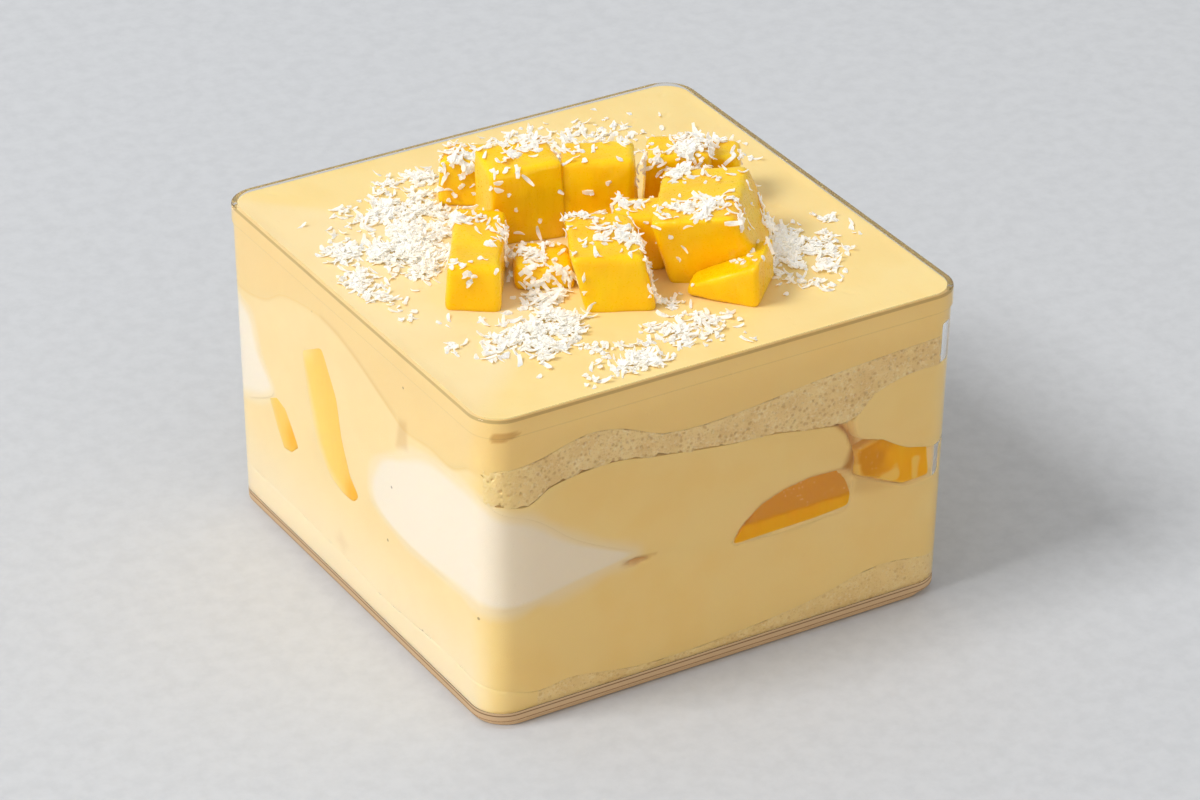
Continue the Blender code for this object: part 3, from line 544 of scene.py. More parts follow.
def ring_piece(name, node, look, rings, marks, sharp, merge=0.0):
    """A smooth piece in a CAD node's place, from rings of points in mm, closed at both ends.

    The marks are named numbers of its points. Edges above the sharp angle stay sharp, and points
    nearer to each other than merge become one.
    """
    mesh = bpy.data.meshes.new(name)
    mesh.from_pydata((np.concatenate(rings) * MM).tolist(), [], tube_faces(len(rings), len(rings[0])))
    mesh.validate()
    mesh.materials.append(look)
    mesh.shade_smooth()
    for mark, values in marks.items():
        layer = mesh.attributes.new(mark, "FLOAT", "POINT")
        layer.data.foreach_set("value", values.astype(np.float32))
    form = bmesh.new()
    form.from_mesh(mesh)
    if merge:
        bmesh.ops.remove_doubles(form, verts=form.verts, dist=merge * MM)
        bmesh.ops.recalc_face_normals(form, faces=form.faces)
    if form.calc_volume(signed=True) < 0:
        bmesh.ops.reverse_faces(form, faces=form.faces)
    form.to_mesh(mesh)
    form.free()
    mesh.set_sharp_from_angle(angle=math.radians(sharp))
    return place_piece(add_object(name, mesh), node)


def applied(piece):
    """The plain mesh that a piece's modifiers make; the modifiers go."""
    mesh = bpy.data.meshes.new_from_object(piece.evaluated_get(bpy.context.evaluated_depsgraph_get()))
    piece.modifiers.clear()
    return mesh


def points_of(mesh, what="co"):
    """A mesh's points, or another vector of each, as an array."""
    values = np.empty(len(mesh.vertices) * 3)
    mesh.vertices.foreach_get(what, values)
    return values.reshape(-1, 3)


def turned(axes, degrees):
    """Turns about axes as one matrix; the last one is made first."""
    matrix = Matrix.Identity(4)
    for axis, angle in zip(axes, degrees):
        matrix = matrix @ Matrix.Rotation(math.radians(angle), 4, axis)
    return matrix


def hashed(cells, seed):
    """A repeatable random number from 0 to 1 for whole-number cells."""
    weights = np.array([127.1, 311.7, 74.7])[:cells.shape[-1]]
    value = np.sin((cells * weights).sum(-1) + seed * 19.19) * 43758.5453
    return value - np.floor(value)


def noise(points, scale, seed=0):
    """Smooth noise from -1 to 1 at points, with features of the given size."""
    places = points / scale
    cell = np.floor(places)
    part = places - cell
    part = part * part * (3 - 2 * part)
    total = 0.0
    for corner in np.ndindex(*(2,) * points.shape[-1]):
        corner = np.array(corner)
        weight = np.prod(np.where(corner, part, 1 - part), axis=-1)
        total = total + weight * hashed(cell + corner, seed)
    return 2 * total - 1


def nearest_cell(points, scale, seed):
    """Distance to the nearest of one random point in each cell, and that cell's own number."""
    places = points / scale
    cell = np.floor(places)
    best = np.full(points.shape[:-1], 9.0)
    own = np.zeros(points.shape[:-1])
    for shift in np.ndindex(*(3,) * points.shape[-1]):
        other = cell + np.array(shift) - 1
        spot = np.stack([hashed(other, seed + 1 + k) for k in range(points.shape[-1])], -1) + other
        gap = np.linalg.norm(spot - places, axis=-1)
        closer = gap < best
        best = np.where(closer, gap, best)
        own = np.where(closer, hashed(other, seed + 7), own)
    return best * scale, own


def smooth_step(value, low, high):
    """0 below low, 1 above high, smooth between them."""
    t = np.clip((value - low) / (high - low), 0, 1)
    return t * t * (3 - 2 * t)


def between(value, low, high):
    """1 inside a stretch whose ends fade over (from, to), 0 outside it."""
    return smooth_step(value, *low) * (1 - smooth_step(value, *high))


# ---------------------------------------------------------------- the wall

def wall_width(z):
    """Outside width of the box's wall at a height."""
    share = np.clip((np.asarray(z, float) - FOOT_HEIGHT) / (BOX_HEIGHT - FOOT_HEIGHT), 0, 1)
    return BASE_WIDTH + (RIM_WIDTH - 2 * RIM_STEP - BASE_WIDTH) * share


def inside_half(z):
    """Half the width between the wall's inside faces."""
    return wall_width(z) / 2 - WALL


def wall_plan(distance, half, radius):
    """Plan positions on a square with round corners, at distances round the wall."""
    side = np.floor(distance / 100) % 4
    t = 2 * (distance % 100) / 100 - 1
    x, y = half * t, -half * np.ones_like(t)
    core = half - radius
    over = np.maximum(np.abs(x) - core, 0)
    length = np.hypot(over, radius)
    x = np.where(over > 0, np.copysign(core + radius * over / length, x), x)
    y = np.where(over > 0, -core - radius * radius / length, y)
    turn = side * math.pi / 2
    return x * np.cos(turn) - y * np.sin(turn), x * np.sin(turn) + y * np.cos(turn)


def wall_ring(distance, z, reach):
    """Points that reach so far into the wall, which is less than 0 where they stand back from it."""
    x, y = wall_plan(distance, inside_half(z) + reach, CORNER_RADIUS - WALL)
    return np.stack([x, y, z], -1)


def height_curve(points):
    """Smooth closed curve of height through (distance, height) points."""
    place, height = np.array(points, float).T
    place = np.concatenate([place[-3:] - LOOP, place, place[:3] + LOOP])
    height = np.concatenate([height[-3:], height, height[:3]])
    slope = np.gradient(height, place)
    slope[1:-1] = (height[2:] - height[:-2]) / (place[2:] - place[:-2])

    def at(distance):
        distance = points[0][0] + (distance - points[0][0]) % LOOP
        k = np.searchsorted(place, distance, side="right") - 1
        span = place[k + 1] - place[k]
        t = (distance - place[k]) / span
        return ((2 * t ** 3 - 3 * t ** 2 + 1) * height[k] + (3 * t ** 2 - 2 * t ** 3) * height[k + 1]
                + (t ** 3 - 2 * t ** 2 + t) * span * slope[k] + (t ** 3 - t ** 2) * span * slope[k + 1])
    return at


def past_corner(distance):
    """The same place counted from 10 to 410, so that the front left corner comes last and whole."""
    return (distance - 10) % LOOP + 10


def on_left_wall(distance):
    """1 along the left wall, where the creams meet in front of the sponge, and 0 elsewhere."""
    return between(past_corner(distance), (298, 303), (397, 401.5))


def outline_loop(points, soft, samples=200):
    """Evenly spaced points round an outline, its corners worn round."""
    corners = np.array(points, float)
    closed = np.vstack([corners, corners[:1]])
    run = np.concatenate([[0], np.cumsum(np.linalg.norm(np.diff(closed, axis=0), axis=1))])
    at = np.arange(samples) * run[-1] / samples
    loop = np.stack([np.interp(at, run, closed[:, axis]) for axis in (0, 1)], -1)
    for _ in range(soft):
        loop = 0.25 * np.roll(loop, 1, 0) + 0.5 * loop + 0.25 * np.roll(loop, -1, 0)
    return loop


def depth_inside(loop, distance, z):
    """How far places on the wall lie inside an outline; less than 0 outside it."""
    distance = distance + LOOP * np.round((loop[:, 0].mean() - distance) / LOOP)
    low, high = loop.min(0) - 4, loop.max(0) + 4
    near = (distance > low[0]) & (distance < high[0]) & (z > low[1]) & (z < high[1])
    places = np.stack([distance[near], z[near]], -1)[:, None]
    start, end = loop, np.roll(loop, -1, 0)
    run = end - start
    share = np.clip(((places - start) * run).sum(-1) / (run * run).sum(-1), 0, 1)
    gap = np.linalg.norm(places - start - share[..., None] * run, axis=-1).min(1)
    across = (start[:, 1] > places[..., 1]) != (end[:, 1] > places[..., 1])
    rise = np.where(run[:, 1] == 0, 1e-9, run[:, 1])
    crossing = across & (places[..., 0] < start[:, 0] + run[:, 0] * (places[..., 1] - start[:, 1]) / rise)
    found = np.full(distance.shape, -9.0)
    found[near] = np.where(crossing.sum(1) % 2 == 1, gap, -gap)
    return found


def rounding(depth, radius):
    """How far a rounded edge draws back, at a depth inside its border."""
    t = np.clip(1 - depth / radius, 0, 1)
    return radius * (1 - np.sqrt(1 - t * t))


# ---------------------------------------------------------------- the box

def rounded_profile(corners):
    """Profile points with each corner (half width, height, radius) worn to an arc."""
    points = []
    for k, (half, z, radius) in enumerate(corners):
        here = Vector((half, z))
        if not radius:
            points.append(here)
            continue
        before = (Vector(corners[k - 1][:2]) - here).normalized()
        after = (Vector(corners[k + 1][:2]) - here).normalized()
        for t in np.linspace(0, 1, ARC_STEPS + 1):
            points.append(here + before * radius * (1 - t) ** 2 + after * radius * t ** 2)
    return points


def painted_edge_shade(half, z):
    """How dark the painted lines along the plastic's edges are: painted shade for the darkness seen refracted
    through the rim, the band's step and the foot.
    """
    if z > BOX_HEIGHT - 0.45 and half > RIM_WIDTH / 2 - 0.3:
        return 0.62
    if any(low < z < high for low, high in PAINTED_FOOT_LINES):
        return 0.8
    if abs(z - (BOX_HEIGHT - RIM_BAND + RIM_STEP)) < 0.16:
        return 0.22
    return 0.0


def make_box(look):
    """The clear box: foot, wall, rim band and rounded rim, and the inside."""
    foot = BASE_WIDTH / 2 - FOOT_INSET
    rim = RIM_WIDTH / 2
    band = BOX_HEIGHT - RIM_BAND
    floor_half = inside_half(FLOOR)
    corners = [(foot - 2, 0.0, 0.0), (foot, 0.0, 0.3), (foot, FOOT_HEIGHT, 0.25),
               (wall_width(FOOT_HEIGHT) / 2, FOOT_HEIGHT, BASE_FILLET * 0.45),
               *((wall_width(z) / 2, z, 0.0) for z in FOOT_RINGS),
               (wall_width(band) / 2, band, 0.08), (rim, band + RIM_STEP, 0.08),
               *((rim, z, 0.0) for z in (band + 0.4, BOX_HEIGHT - 0.52, BOX_HEIGHT - 0.4)),
               (rim, BOX_HEIGHT, 0.35), (inside_half(BOX_HEIGHT), BOX_HEIGHT, 0.2),
               (floor_half, FLOOR, 0.7), (floor_half - 3, FLOOR, 0.0)]
    profile = rounded_profile(corners)
    top = next(k for k, point in enumerate(profile) if point.y > BOX_HEIGHT - 1e-6)
    corner = np.linspace(0, CORNER_RADIUS + 0.2, 11)
    side = np.concatenate([corner, 100 - corner[:0:-1]])
    distance = np.concatenate([side + 100 * k for k in range(4)])
    # Each ring's painted dark lines and painted foot glow, as numbers from 0 to 1
    rings, lines, painted_foot_glow = [], [], []
    for k, (half, z) in enumerate(profile):
        outside = k <= top
        radius = CORNER_RADIUS if outside else CORNER_RADIUS - WALL
        x, y = wall_plan(distance, np.full_like(distance, half), radius)
        rings.append(np.stack([x, y, np.full_like(x, z)], -1))
        lines.append(painted_edge_shade(half, z) if outside else 0.0)
        painted_foot_glow.append(float(outside and z < PAINTED_GLOW_TOP))
    marks = {"rim": np.repeat(lines, len(distance)), "painted_foot_glow": np.repeat(painted_foot_glow, len(distance))}
    ring_piece("box_wall", "box_clear", look, rings, marks, sharp=35, merge=0.002)


# ---------------------------------------------------------------- layers

LUMP_LOOPS = {name: outline_loop(spec["outline"], spec["soft"]) for name, spec in LUMPS.items()}
POCKET_LOOPS = [outline_loop(pocket["outline"], 8) for pocket in POCKETS]
SHADE_AND_MANGO_LOOPS = [outline_loop(dark_mark["outline"], 4) for dark_mark in SHADE_AND_MANGO_MARKS]


def pores(distance, z):
    """How far the cut sponge's open pores draw back; the soaked sponge low in the box has none."""
    total = 0.0
    for spacing, depth, seed, closed, inner, outer in PORES:
        gap, own = nearest_cell(np.stack([distance, z], -1), spacing, seed)
        pore = 1 - smooth_step(gap, inner[0] + inner[1] * own, outer[0] + outer[1] * own)
        total = total + depth * pore * (own > closed) * (z > SOAKED_TOP)
    return total


def beside_lumps(distance, z):
    """Grooves round the lumps in the cream, painted shade along the deeper grooves, and paleness where white
    cream blends in.
    """
    groove, groove_shade, pale = np.zeros((3, *z.shape))
    drift = 0.5 + 0.5 * noise(np.stack([distance, z], -1), 5.0, 61)
    for name, spec in LUMPS.items():
        inside = depth_inside(LUMP_LOOPS[name], distance, z)
        groove = np.maximum(groove, (spec["groove"] + 0.01) * smooth_step(inside, -0.9, 0.2))
        # A golden-brown tone painted along the deeper grooves: painted shade in the groove
        if spec["groove"] > 0.1:
            groove_shade = np.maximum(groove_shade, 0.25 * smooth_step(inside, -0.7, 0.1))
        if spec["look"] == "white_cream":
            pale = np.maximum(pale, 0.55 * smooth_step(inside, -1.2 - 3.2 * drift, 0.3))
    return groove, groove_shade, pale


def brown_marks(distance, z):
    """The golden mango sliver under the rim, and the soft brown marks, which are mostly painted shade, from 0
    to 1.
    """
    along = (distance - SLIVER_PLACE[0] + LOOP / 2) % LOOP - LOOP / 2
    up = z - SLIVER_PLACE[1] - SLIVER_SLOPE * along
    length, thick = SLIVER_REACH
    marks = 0.6 * smooth_step(1 - np.hypot(along / length, up / (thick - SLIVER_TAPER * along)), 0, 0.3)
    for dark_mark, loop in zip(SHADE_AND_MANGO_MARKS, SHADE_AND_MANGO_LOOPS):
        inside = depth_inside(loop, distance, z)
        marks = np.maximum(marks, dark_mark["amount"] * smooth_step(inside, -dark_mark["soft"], dark_mark["soft"]))
    return marks


def towards_middle(edge, shares, level):
    """Rings from a layer's edge in towards its middle, where they come level."""
    rings = []
    for share in shares:
        ring = edge * [share, share, 1]
        ring[:, 2] = level + (edge[:, 2] - level) * share ** 2
        rings.append(ring)
    return rings


def spread_relief(points):
    """Gentle spatula waves and a few small pits on the cream's surface."""
    flat = points[:, :2]
    waves = 0.16 * noise(flat, 17, 21) + 0.07 * noise(flat, 6, 22)
    gap, own = nearest_cell(flat, 11, 23)
    return waves - 0.15 - 0.22 * (1 - smooth_step(gap, 0.15, 0.55)) * (own > 0.45)


def make_layer(name, looks, lower, upper, rows, edge=(0.01, 0.01), crumb=False, surface=False):
    """A layer of the cake: a fine face against the wall, closed over and under towards the middle."""
    columns = SPONGE_COLUMNS if crumb else CREAM_COLUMNS
    distance = np.arange(columns) * LOOP / columns
    low, high = lower(distance), upper(distance)
    if crumb:
        flat = np.stack([distance, distance * 0], -1)
        high = high + 0.2 * noise(flat, 2.6, 5) + 0.12 * noise(flat, 0.9, 6)
        if name == "sponge_upper":
            low = low + 0.35 * noise(flat, 2.1, 3) + 0.2 * noise(flat, 0.8, 4)
    z = low + (high - low) * np.linspace(0, 1, rows + 1)[:, None]
    around = np.broadcast_to(distance, z.shape)
    place = past_corner(around)
    left = between(place, (296, 304), (392, 402))
    # A painted sheen on the left wall, stronger low down, standing in for the plastic's reflection
    left_painted_sheen = left * (0.22 + 0.32 * smooth_step(26 - z, 0, 20))
    inset = rounding(z - low, edge[0]) + rounding(high - z, edge[1])
    if crumb:
        inset = inset + pores(around, z)
        low_part = z < SOAKED_TOP
        soaked = smooth_step(place, 294, 302) * (1 - smooth_step(z, 18, 24))
        corner = between(place, (390, 398), (403, 411))
        marks = {"soaked": np.maximum(soaked, np.maximum(0.6 * corner, 0.3 * low_part)),
                 "pale": left_painted_sheen * low_part}
    else:
        groove, groove_shade, pale = beside_lumps(around, z)
        inset = np.maximum(inset, groove)
        # Painted shade: a darker golden tone on the top cream's face under the rim band, and along the top
        # edge of the middle cream on the left wall
        painted_shade = np.full_like(z, 0.5 if surface else 0.0)
        if name == "cream_middle":
            painted_shade = 0.8 * left * (1 - smooth_step(high - z, 0.1, 0.9))
        # The golden-brown marks are the mango sliver plus painted shade in notches, slits, creases and the
        # deeper grooves
        marks = {"pale": np.maximum(pale, left_painted_sheen), "painted_shade": painted_shade,
                 "flesh": np.maximum(brown_marks(around, z), groove_shade)}
    for pocket, loop in zip(POCKETS, POCKET_LOOPS):
        if name in pocket["layers"]:
            inside = depth_inside(loop, around, z)
            inset = np.maximum(inset, pocket["depth"] * smooth_step(inside, -0.2, pocket["soft"]))
    grid = wall_ring(around, z, (SPONGE_REACH if crumb else CREAM_REACH) - inset)
    if name == "sponge_upper":
        hidden = on_left_wall(around)
        setback = SPONGE_SETBACK * between(place, (302, 304.5), (395.5, 398)) + 0.3 * hidden
        grid[..., 0] = np.maximum(grid[..., 0], setback - inside_half(z) - (hidden == 0))
    under = towards_middle(grid[0], INWARD[::-1], low.mean())
    over = towards_middle(grid[-1], SURFACE_INWARD if surface else INWARD, high.mean())
    marks = {mark: np.concatenate([np.tile(values[0], len(under)), values.ravel(),
                                   np.tile(values[-1], len(over))]) for mark, values in marks.items()}
    if surface:
        # No painted shade on the top surface itself
        marks["painted_shade"][-len(over) * columns:] = 0
        for ring, share in zip(over, SURFACE_INWARD):
            ring[:, 2] += spread_relief(ring) * min(1.0, (1 - share) * 25)
    slot = "sponge" if crumb else "yellow_cream"
    return ring_piece(name + "_fill", name, looks[slot], under + list(grid) + over, marks, sharp=50)


def make_layers(looks):
    """The five layers, from the floor up; the last one is the surface that the coconut lies on."""
    bottom, lower = height_curve(BOTTOM_SPONGE_TOP), height_curve(LOWER_CREAM_TOP)
    sponge_low, sponge_high = height_curve(SPONGE_BOTTOM), height_curve(SPONGE_TOP)
    seam = height_curve(CREAM_SEAM)

    def to_seam(curve):
        return lambda s: curve(s) + (seam(s) - curve(s)) * on_left_wall(s)

    def level(height):
        return lambda s: np.full_like(s, height)
    make_layer("sponge_bottom", looks, level(FLOOR), bottom, 14, (0.01, 0.12), crumb=True)
    make_layer("cream_lower", looks, bottom, lower, 36)
    make_layer("cream_middle", looks, lower, to_seam(sponge_low), 52)
    make_layer("sponge_upper", looks, sponge_low, sponge_high, 28, (0.4, 0.25), crumb=True)
    return make_layer("cream_top", looks, to_seam(sponge_high), level(CREAM_TOP), 22, surface=True)


# ---------------------------------------------------------------- lumps against the wall

def lump_marks(spec, spot, depth, middle):
    """How veiled, filmed over, pale and shaded a lump is at its points, from 0 to 1."""
    distance, z = spot.T
    marks = {mark: np.zeros(len(spot)) for mark in ("veil", "film", "pale", "shade")}
    border = 0.6 * (1 - smooth_step(depth, 0.0, 1.0))
    if spec["look"] == "white_cream":
        marks["pale"] = 0.5 + 0.5 * smooth_step(depth, 0.0, 2.6)
    if "veil" in spec:
        behind = 1 - smooth_step(distance + 0.45 * (z - middle), *spec["veil"])
        clear = 0.6 * (1 - smooth_step(np.linalg.norm(spot - spec["tip"], axis=1), 2, 6.5))
        marks["veil"] = np.maximum(0.62 + 0.38 * behind, border) - clear
        marks["film"] = (1 - smooth_step(depth, 0.2, 3.2)) * behind
    if "smear_and_shade" in spec:
        marks["veil"] = 0.7 * np.maximum(smooth_step(noise(spot, 2.2, 37), 0.1, 0.6), border)
        # Painted shade on the recessed part before the given stretch along the wall
        marks["shade"] = 0.75 * (1 - smooth_step(distance + 2.4 * noise(spot, 2.4, 35), *spec["smear_and_shade"]))
    if "recede" in spec:
        start = spec["recede"][0]
        marks["shade"] = 0.85 * smooth_step(z + 0.12 * noise(spot, 1.3, 33), start - 0.3, start + 0.4)
    return marks


def make_lump(name, spec, look):
    """A lump pressed flat against the wall, its back reaching into the cake."""
    loop = LUMP_LOOPS[name]
    middle = loop.mean(0)
    arms = loop - middle
    length = np.linalg.norm(arms, axis=1)
    boxy = 6 if spec["look"] == "mango" else 2.2
    shares = 1 - np.linspace(0, 1, 27) ** 1.35 * 0.985
    rings, marks = [], []
    for share, back in [(s, False) for s in shares[::-1]] + [(s, True) for s in shares[1:]]:
        spot = middle + arms * share
        depth = (1 - share) * length
        inset = rounding(depth, spec["edge"])
        if "recede" in spec:
            start, slope = spec["recede"]
            inset = inset + np.maximum(spot[:, 1] - start, 0) * slope
        if spec["look"] == "mango":
            inset = inset + 0.02 * (1 + noise(spot, 2.2, 31))
        if back:
            inset = inset + spec["depth"] * (1 - share ** boxy) ** (1 / boxy)
        rings.append(wall_ring(spot[:, 0], spot[:, 1], LUMP_REACH - inset))
        marks.append(lump_marks(spec, spot, depth, middle[1]))
    marks = {mark: np.concatenate([ring[mark] for ring in marks]) for mark in marks[0]}
    ring_piece(name + "_fill", name, look, rings, marks, sharp=50)


# ---------------------------------------------------------------- mango on the cream

def make_chunk(name, spec, look, seed):
    """A hand-cut chunk: the CAD model's corners, rounded, remeshed finely and made uneven."""
    draw = random.Random(seed)
    narrow, lean = spec.get("narrow", (0.97, 0.97)), spec.get("lean", (0, 0))
    width, depth, height = spec["size"]
    form = bmesh.new()
    bmesh.ops.create_cube(form, size=1.0)
    for vertex in form.verts:
        x, y, z = vertex.co
        stray = Vector([draw.uniform(-1, 1) * CHUNK_UNEVEN for axis in range(3)])
        lift = 0.0
        if z > 0:
            x, y = x * narrow[0] + lean[0] / width, y * narrow[1] + lean[1] / depth
            lift = height * (1 + spec.get("wedge", 0) * math.copysign(1, x))
        vertex.co = Vector((x * width, y * depth, lift)) + stray
    bmesh.ops.bevel(form, geom=form.edges[:], offset=CHUNK_ROUND, segments=3, profile=0.5, affect="EDGES")
    foot = Matrix.Translation((*spec["place"], CREAM_TOP - CHUNK_SINK))
    form.transform(foot @ turned("ZXY", spec["turn"]))
    mesh = bpy.data.meshes.new(name)
    form.to_mesh(mesh)
    form.free()
    piece = add_object(name + "_flesh", mesh)
    remesh = piece.modifiers.new("fine", "REMESH")
    remesh.mode, remesh.voxel_size = "VOXEL", CHUNK_GRID
    piece.data = applied(piece)
    points, normals = points_of(piece.data), points_of(piece.data, "normal")
    fibres = points @ np.array(turned("Z", spec["turn"]).to_3x3()) * (1, 1, 0.16)
    bulge = sum(height * noise(places, size, seed + extra)
                for height, places, size, extra in ((0.22, points, 5.5, 0), (0.07, points, 2.0, 40),
                                                    (0.05, fibres, 0.9, 80)))
    points = (points + normals * bulge[:, None]) * MM
    piece.data.vertices.foreach_set("co", points.ravel())
    piece.data.shade_smooth()
    piece.data.materials.append(look)
    return place_piece(piece, name)


# ---------------------------------------------------------------- coconut

def shred_mesh(kind):
    """One curled shred along X: a thin strip, bent and twisted, with ragged ends."""
    draw = random.Random(100 + kind)
    length = SHRED_LENGTH * draw.uniform(0.35, 1.35)
    width = SHRED_WIDTH * draw.uniform(0.55, 1.2)
    bend, twist = draw.uniform(-0.45, 0.45), draw.uniform(-0.8, 0.8)
    sway = draw.uniform(-0.35, 0.35)
    points = []
    for t in np.linspace(-1, 1, SHRED_STEPS + 1):
        broad = width * (1 - 0.4 * abs(t) ** draw.uniform(1.5, 6)) * draw.uniform(0.7, 1.15)
        thick = SHRED_THICK * (1 - 0.4 * t * t)
        middle = Vector((t / 2, sway * t * t * 0.5, bend * t * t * 0.4)) * length
        for side, up in ((-1, -1), (1, -1), (1, 1), (-1, 1)):
            corner = Vector((0, side * broad / 2, up * thick / 2))
            points.append((middle + Matrix.Rotation(twist * t, 3, "X") @ corner) * MM)
    mesh = bpy.data.meshes.new(f"shred_{kind}")
    mesh.from_pydata(points, [], tube_faces(SHRED_STEPS + 1, 4))
    return mesh


def coconut_tree():
    """Geometry nodes that strew shreds over a host, thickest where its drift number is high."""
    group = bpy.data.node_groups.new("strewn_coconut", "GeometryNodeTree")
    sockets = [("Host", "Geometry"), ("Shreds", "Collection"), ("Per Square Metre", "Float"),
               ("Pile Height", "Float"), ("Tilt", "Float"), ("Seed", "Int"), ("Look", "Material")]
    for name, kind in sockets:
        group.interface.new_socket(name, in_out="INPUT", socket_type="NodeSocket" + kind)
    group.interface.new_socket("Coconut", in_out="OUTPUT", socket_type="NodeSocketGeometry")
    tree = Tree(group)
    given = tree.add("NodeGroupInput")
    tilt, seed = given.beside("Tilt"), given.beside("Seed")
    drift = tree.add("GeometryNodeInputNamedAttribute", {"data_type": "FLOAT"}, {"Name": "drift"})

    def random_number(low, high, extra):
        return tree.add("FunctionNodeRandomValue", {"data_type": "FLOAT"},
                        {2: low, 3: high, "Seed": seed + extra}, output=1)
    strewn = tree.add("GeometryNodeDistributePointsOnFaces", {"distribute_method": "RANDOM"}, {
        "Mesh": given.beside("Host"), "Density": drift * given.beside("Per Square Metre"), "Seed": seed})
    lift = random_number(0.0, 1.0, 1) * drift * given.beside("Pile Height") + 0.1 * MM
    rise = tree.add("ShaderNodeVectorMath", {"operation": "SCALE"},
                    {0: strewn.beside("Normal"), "Scale": lift})
    raised = tree.add("GeometryNodeSetPosition", {}, {"Geometry": strewn, "Offset": rise})
    kinds = tree.add("GeometryNodeCollectionInfo", {}, {
        "Collection": given.beside("Shreds"), "Separate Children": True, "Reset Children": True})
    pick = tree.add("FunctionNodeRandomValue", {"data_type": "INT"},
                    {4: 0, 5: SHRED_KINDS - 1, "Seed": seed + 2}, output=2)
    laid = tree.add("GeometryNodeInstanceOnPoints", {}, {
        "Points": raised, "Instance": kinds, "Pick Instance": True, "Instance Index": pick,
        "Rotation": strewn.beside("Rotation"), "Scale": random_number(0.7, 1.2, 3)})
    spin = tree.add("ShaderNodeCombineXYZ", {}, {
        0: random_number(-1.0, 1.0, 4) * tilt, 1: random_number(-1.0, 1.0, 5) * tilt,
        2: random_number(0.0, math.tau, 6)})
    turned = tree.add("GeometryNodeRotateInstances", {}, {"Instances": laid, "Rotation": spin})
    toned = tree.add("GeometryNodeStoreNamedAttribute", {"data_type": "FLOAT", "domain": "INSTANCE"},
                     {"Geometry": turned, "Name": "tone", "Value": random_number(0.0, 1.0, 7)})
    real = tree.add("GeometryNodeRealizeInstances", {}, {"Geometry": toned})
    done = tree.add("GeometryNodeSetMaterial", {}, {"Geometry": real, "Material": given.beside("Look")})
    tree.add("NodeGroupOutput", {}, {"Coconut": done})
    return group


def coconut_host(surface, chunks):
    """The cream's surface and the chunks as one mesh, with how thickly coconut lies on each point."""
    host, covers = bmesh.new(), bmesh.new()
    host.from_mesh(surface.data)
    low = [face for face in host.faces if face.calc_center_median().z < (CREAM_TOP - 0.8) * MM]
    bmesh.ops.delete(host, geom=low, context="FACES")
    for chunk in chunks:
        host.from_mesh(chunk.data)
        covers.from_mesh(chunk.data)
    bmesh.ops.scale(covers, vec=Vector((1, 1, 1)) / MM, verts=covers.verts)
    over = BVHTree.FromBMesh(covers)
    mesh = bpy.data.meshes.new("coconut_host")
    host.to_mesh(mesh)
    host.free()
    covers.free()
    points = points_of(mesh) / MM
    drift = np.zeros(len(points))
    on_cream = [(x, y, CLUMP_HEIGHT, reach, amount) for x, y, reach, amount in CREAM_CLUMPS]
    for x, y, z, reach, amount in on_cream + CHUNK_CLUMPS:
        gap = np.linalg.norm((points - (x, y, z)) * (1, 1, 0.8), axis=1)
        drift += amount * np.exp(-(gap / reach) ** 2 * 1.2)
    upward = smooth_step(points_of(mesh, "normal")[:, 2], -0.35, 0.5)
    drift *= upward * smooth_step(noise(points, 2.6, 51), -0.55, 0.35)
    cream = CREAM_TOP + 0.4
    for k in np.nonzero(points[:, 2] < cream)[0]:
        if over.ray_cast(Vector((*points[k, :2], cream)), Vector((0, 0, 1)))[0]:
            drift[k] = 0
    drift *= 1 - smooth_step(np.abs(points[:, :2]).max(1), 45.5, 46.5)
    mesh.attributes.new("drift", "FLOAT", "POINT").data.foreach_set("value", drift.astype(np.float32))
    return mesh


def make_coconut(surface, chunks, look):
    """Strew coconut over the cream and the chunks."""
    coconut = add_object("coconut_shreds", coconut_host(surface, chunks))
    kinds = bpy.data.collections.new("shred_kinds")
    for kind in range(SHRED_KINDS):
        kinds.objects.link(bpy.data.objects.new(f"shred_{kind}", shred_mesh(kind)))
    strew = coconut.modifiers.new("strew", "NODES")
    strew.node_group = coconut_tree()
    values = {"Shreds": kinds, "Per Square Metre": SHREDS_EACH, "Pile Height": 0.75 * MM, "Tilt": 0.5,
              "Seed": SEED, "Look": look}
    for item in strew.node_group.interface.items_tree:
        if item.name in values:
            strew[item.identifier] = values[item.name]
    coconut.data = applied(coconut)
    for thing in list(kinds.objects):
        bpy.data.objects.remove(thing, do_unlink=True)
    bpy.data.collections.remove(kinds)
    if not coconut.data.materials:
        coconut.data.materials.append(look)
    shreds = points_of(coconut.data).reshape(-1, 4 * (SHRED_STEPS + 1), 3)
    shreds[:, :, 2] -= np.maximum(shreds[:, :, 2].max(1) - HIGHEST * MM, 0)[:, None]
    coconut.data.vertices.foreach_set("co", shreds.ravel())
    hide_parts("cream_top", *MANGO_TOP)
    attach(coconut, "root")


# ---------------------------------------------------------------- stage

def add_lamp(name, place, size, power, colour):
    """A rectangular lamp that points at the cake."""
    data = bpy.data.lights.new(name, "AREA")
    data.shape, (data.size, data.size_y) = "RECTANGLE", size
    data.energy, data.color = power, colour
    lamp = add_object(name, data)
    lamp.location = place
    lamp.rotation_euler = (Vector((0, 0, 0.03)) - Vector(place)).to_track_quat("-Z", "Y").to_euler()


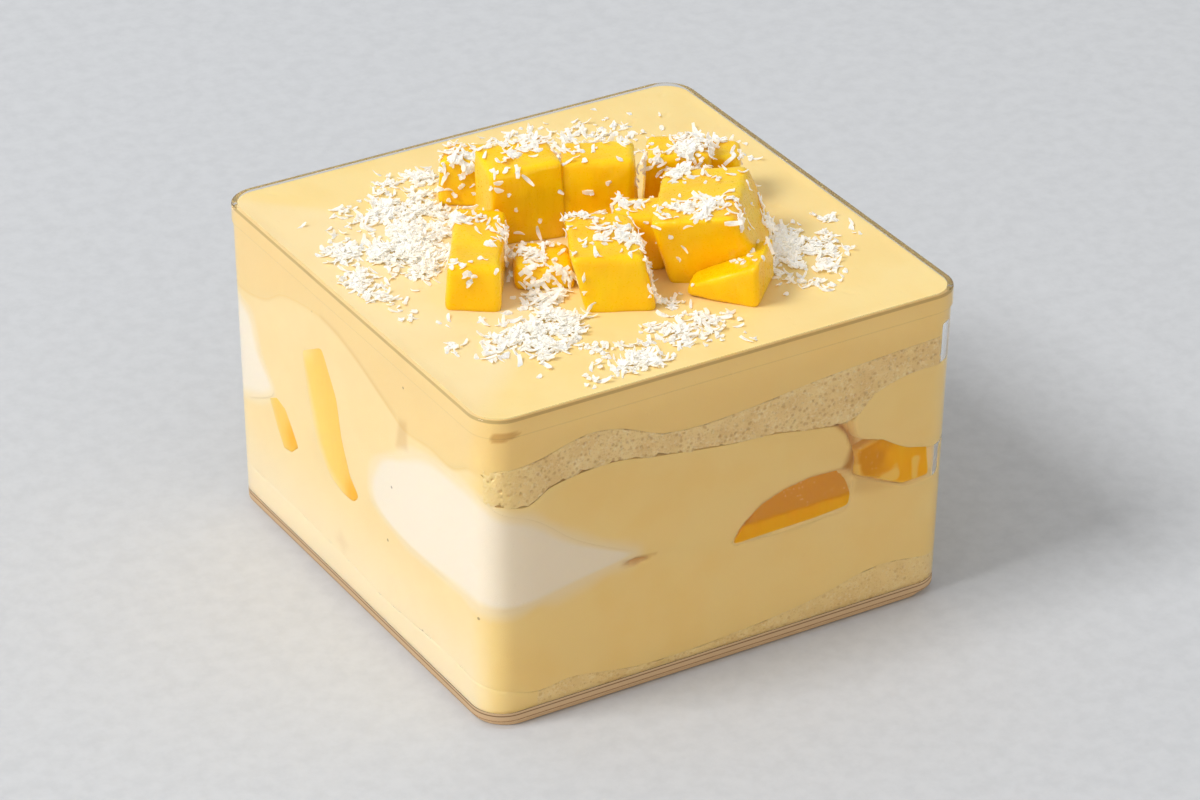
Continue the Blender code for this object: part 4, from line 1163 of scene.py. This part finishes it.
def make_stage():
    """The paper on the table, the lamps and the sky."""
    mesh = bpy.data.meshes.new("table")
    mesh.from_pydata([(-4, -4, 0), (4, -4, 0), (4, 4, 0), (-4, 4, 0)], [], [(0, 1, 2, 3)])
    mesh.materials.append(paper_material())
    table = add_object("table", mesh)
    table.location.z = -0.05 * MM

    add_lamp("key", KEY_PLACE, KEY_SIZE, KEY_POWER, KEY_COLOUR)
    add_lamp("fill", FILL_PLACE, FILL_SIZE, FILL_POWER, FILL_COLOUR)

    world = bpy.data.worlds.new("studio")
    bpy.context.scene.world = world
    world.use_nodes = True
    world.node_tree.nodes.clear()
    tree = Tree(world.node_tree)
    way = tree.add("ShaderNodeTexCoord", output="Generated")
    height = tree.add("ShaderNodeSeparateXYZ", {}, {0: way}, output="Z")
    sky = tree.mix(tree.step(height, 0.05, 0.6), SKY_LOW, SKY_HIGH)
    light = tree.add("ShaderNodeBackground", {}, {"Color": sky, "Strength": SKY})
    tree.add("ShaderNodeOutputWorld", {}, {"Surface": light})
    bpy.context.scene.view_settings.view_transform = "Standard"


def make_camera():
    """A long lens that looks down on the box's near corner."""
    data = bpy.data.cameras.new("camera")
    data.sensor_width, data.lens, data.clip_end = 36, LENS, 10
    camera = add_object("camera", data)
    camera.matrix_world = Matrix.Translation(CAMERA_PLACE) @ turned("ZXZ", CAMERA_TURN)
    bpy.context.scene.camera = camera


def main():
    make_camera()
    looks = {
        "yellow_cream": cream_material("yellow_cream"),
        "white_cream": cream_material("white_cream"),
        "sponge": sponge_material(),
        "mango": mango_material("mango_pressed", 0.0, rgb(250, 182, 0), rgb(248, 174, 0)),
    }
    flesh = mango_material("mango", 0.5, rgb(255, 208, 4), rgb(254, 193, 0))
    make_box(plastic_material())
    surface = make_layers(looks)
    for name, spec in LUMPS.items():
        make_lump(name, spec, looks[spec["look"]])
    chunks = [make_chunk(name, spec, flesh, seed) for seed, (name, spec) in enumerate(MANGO_TOP.items())]
    make_coconut(surface, chunks, coconut_material())
    make_stage()


main()
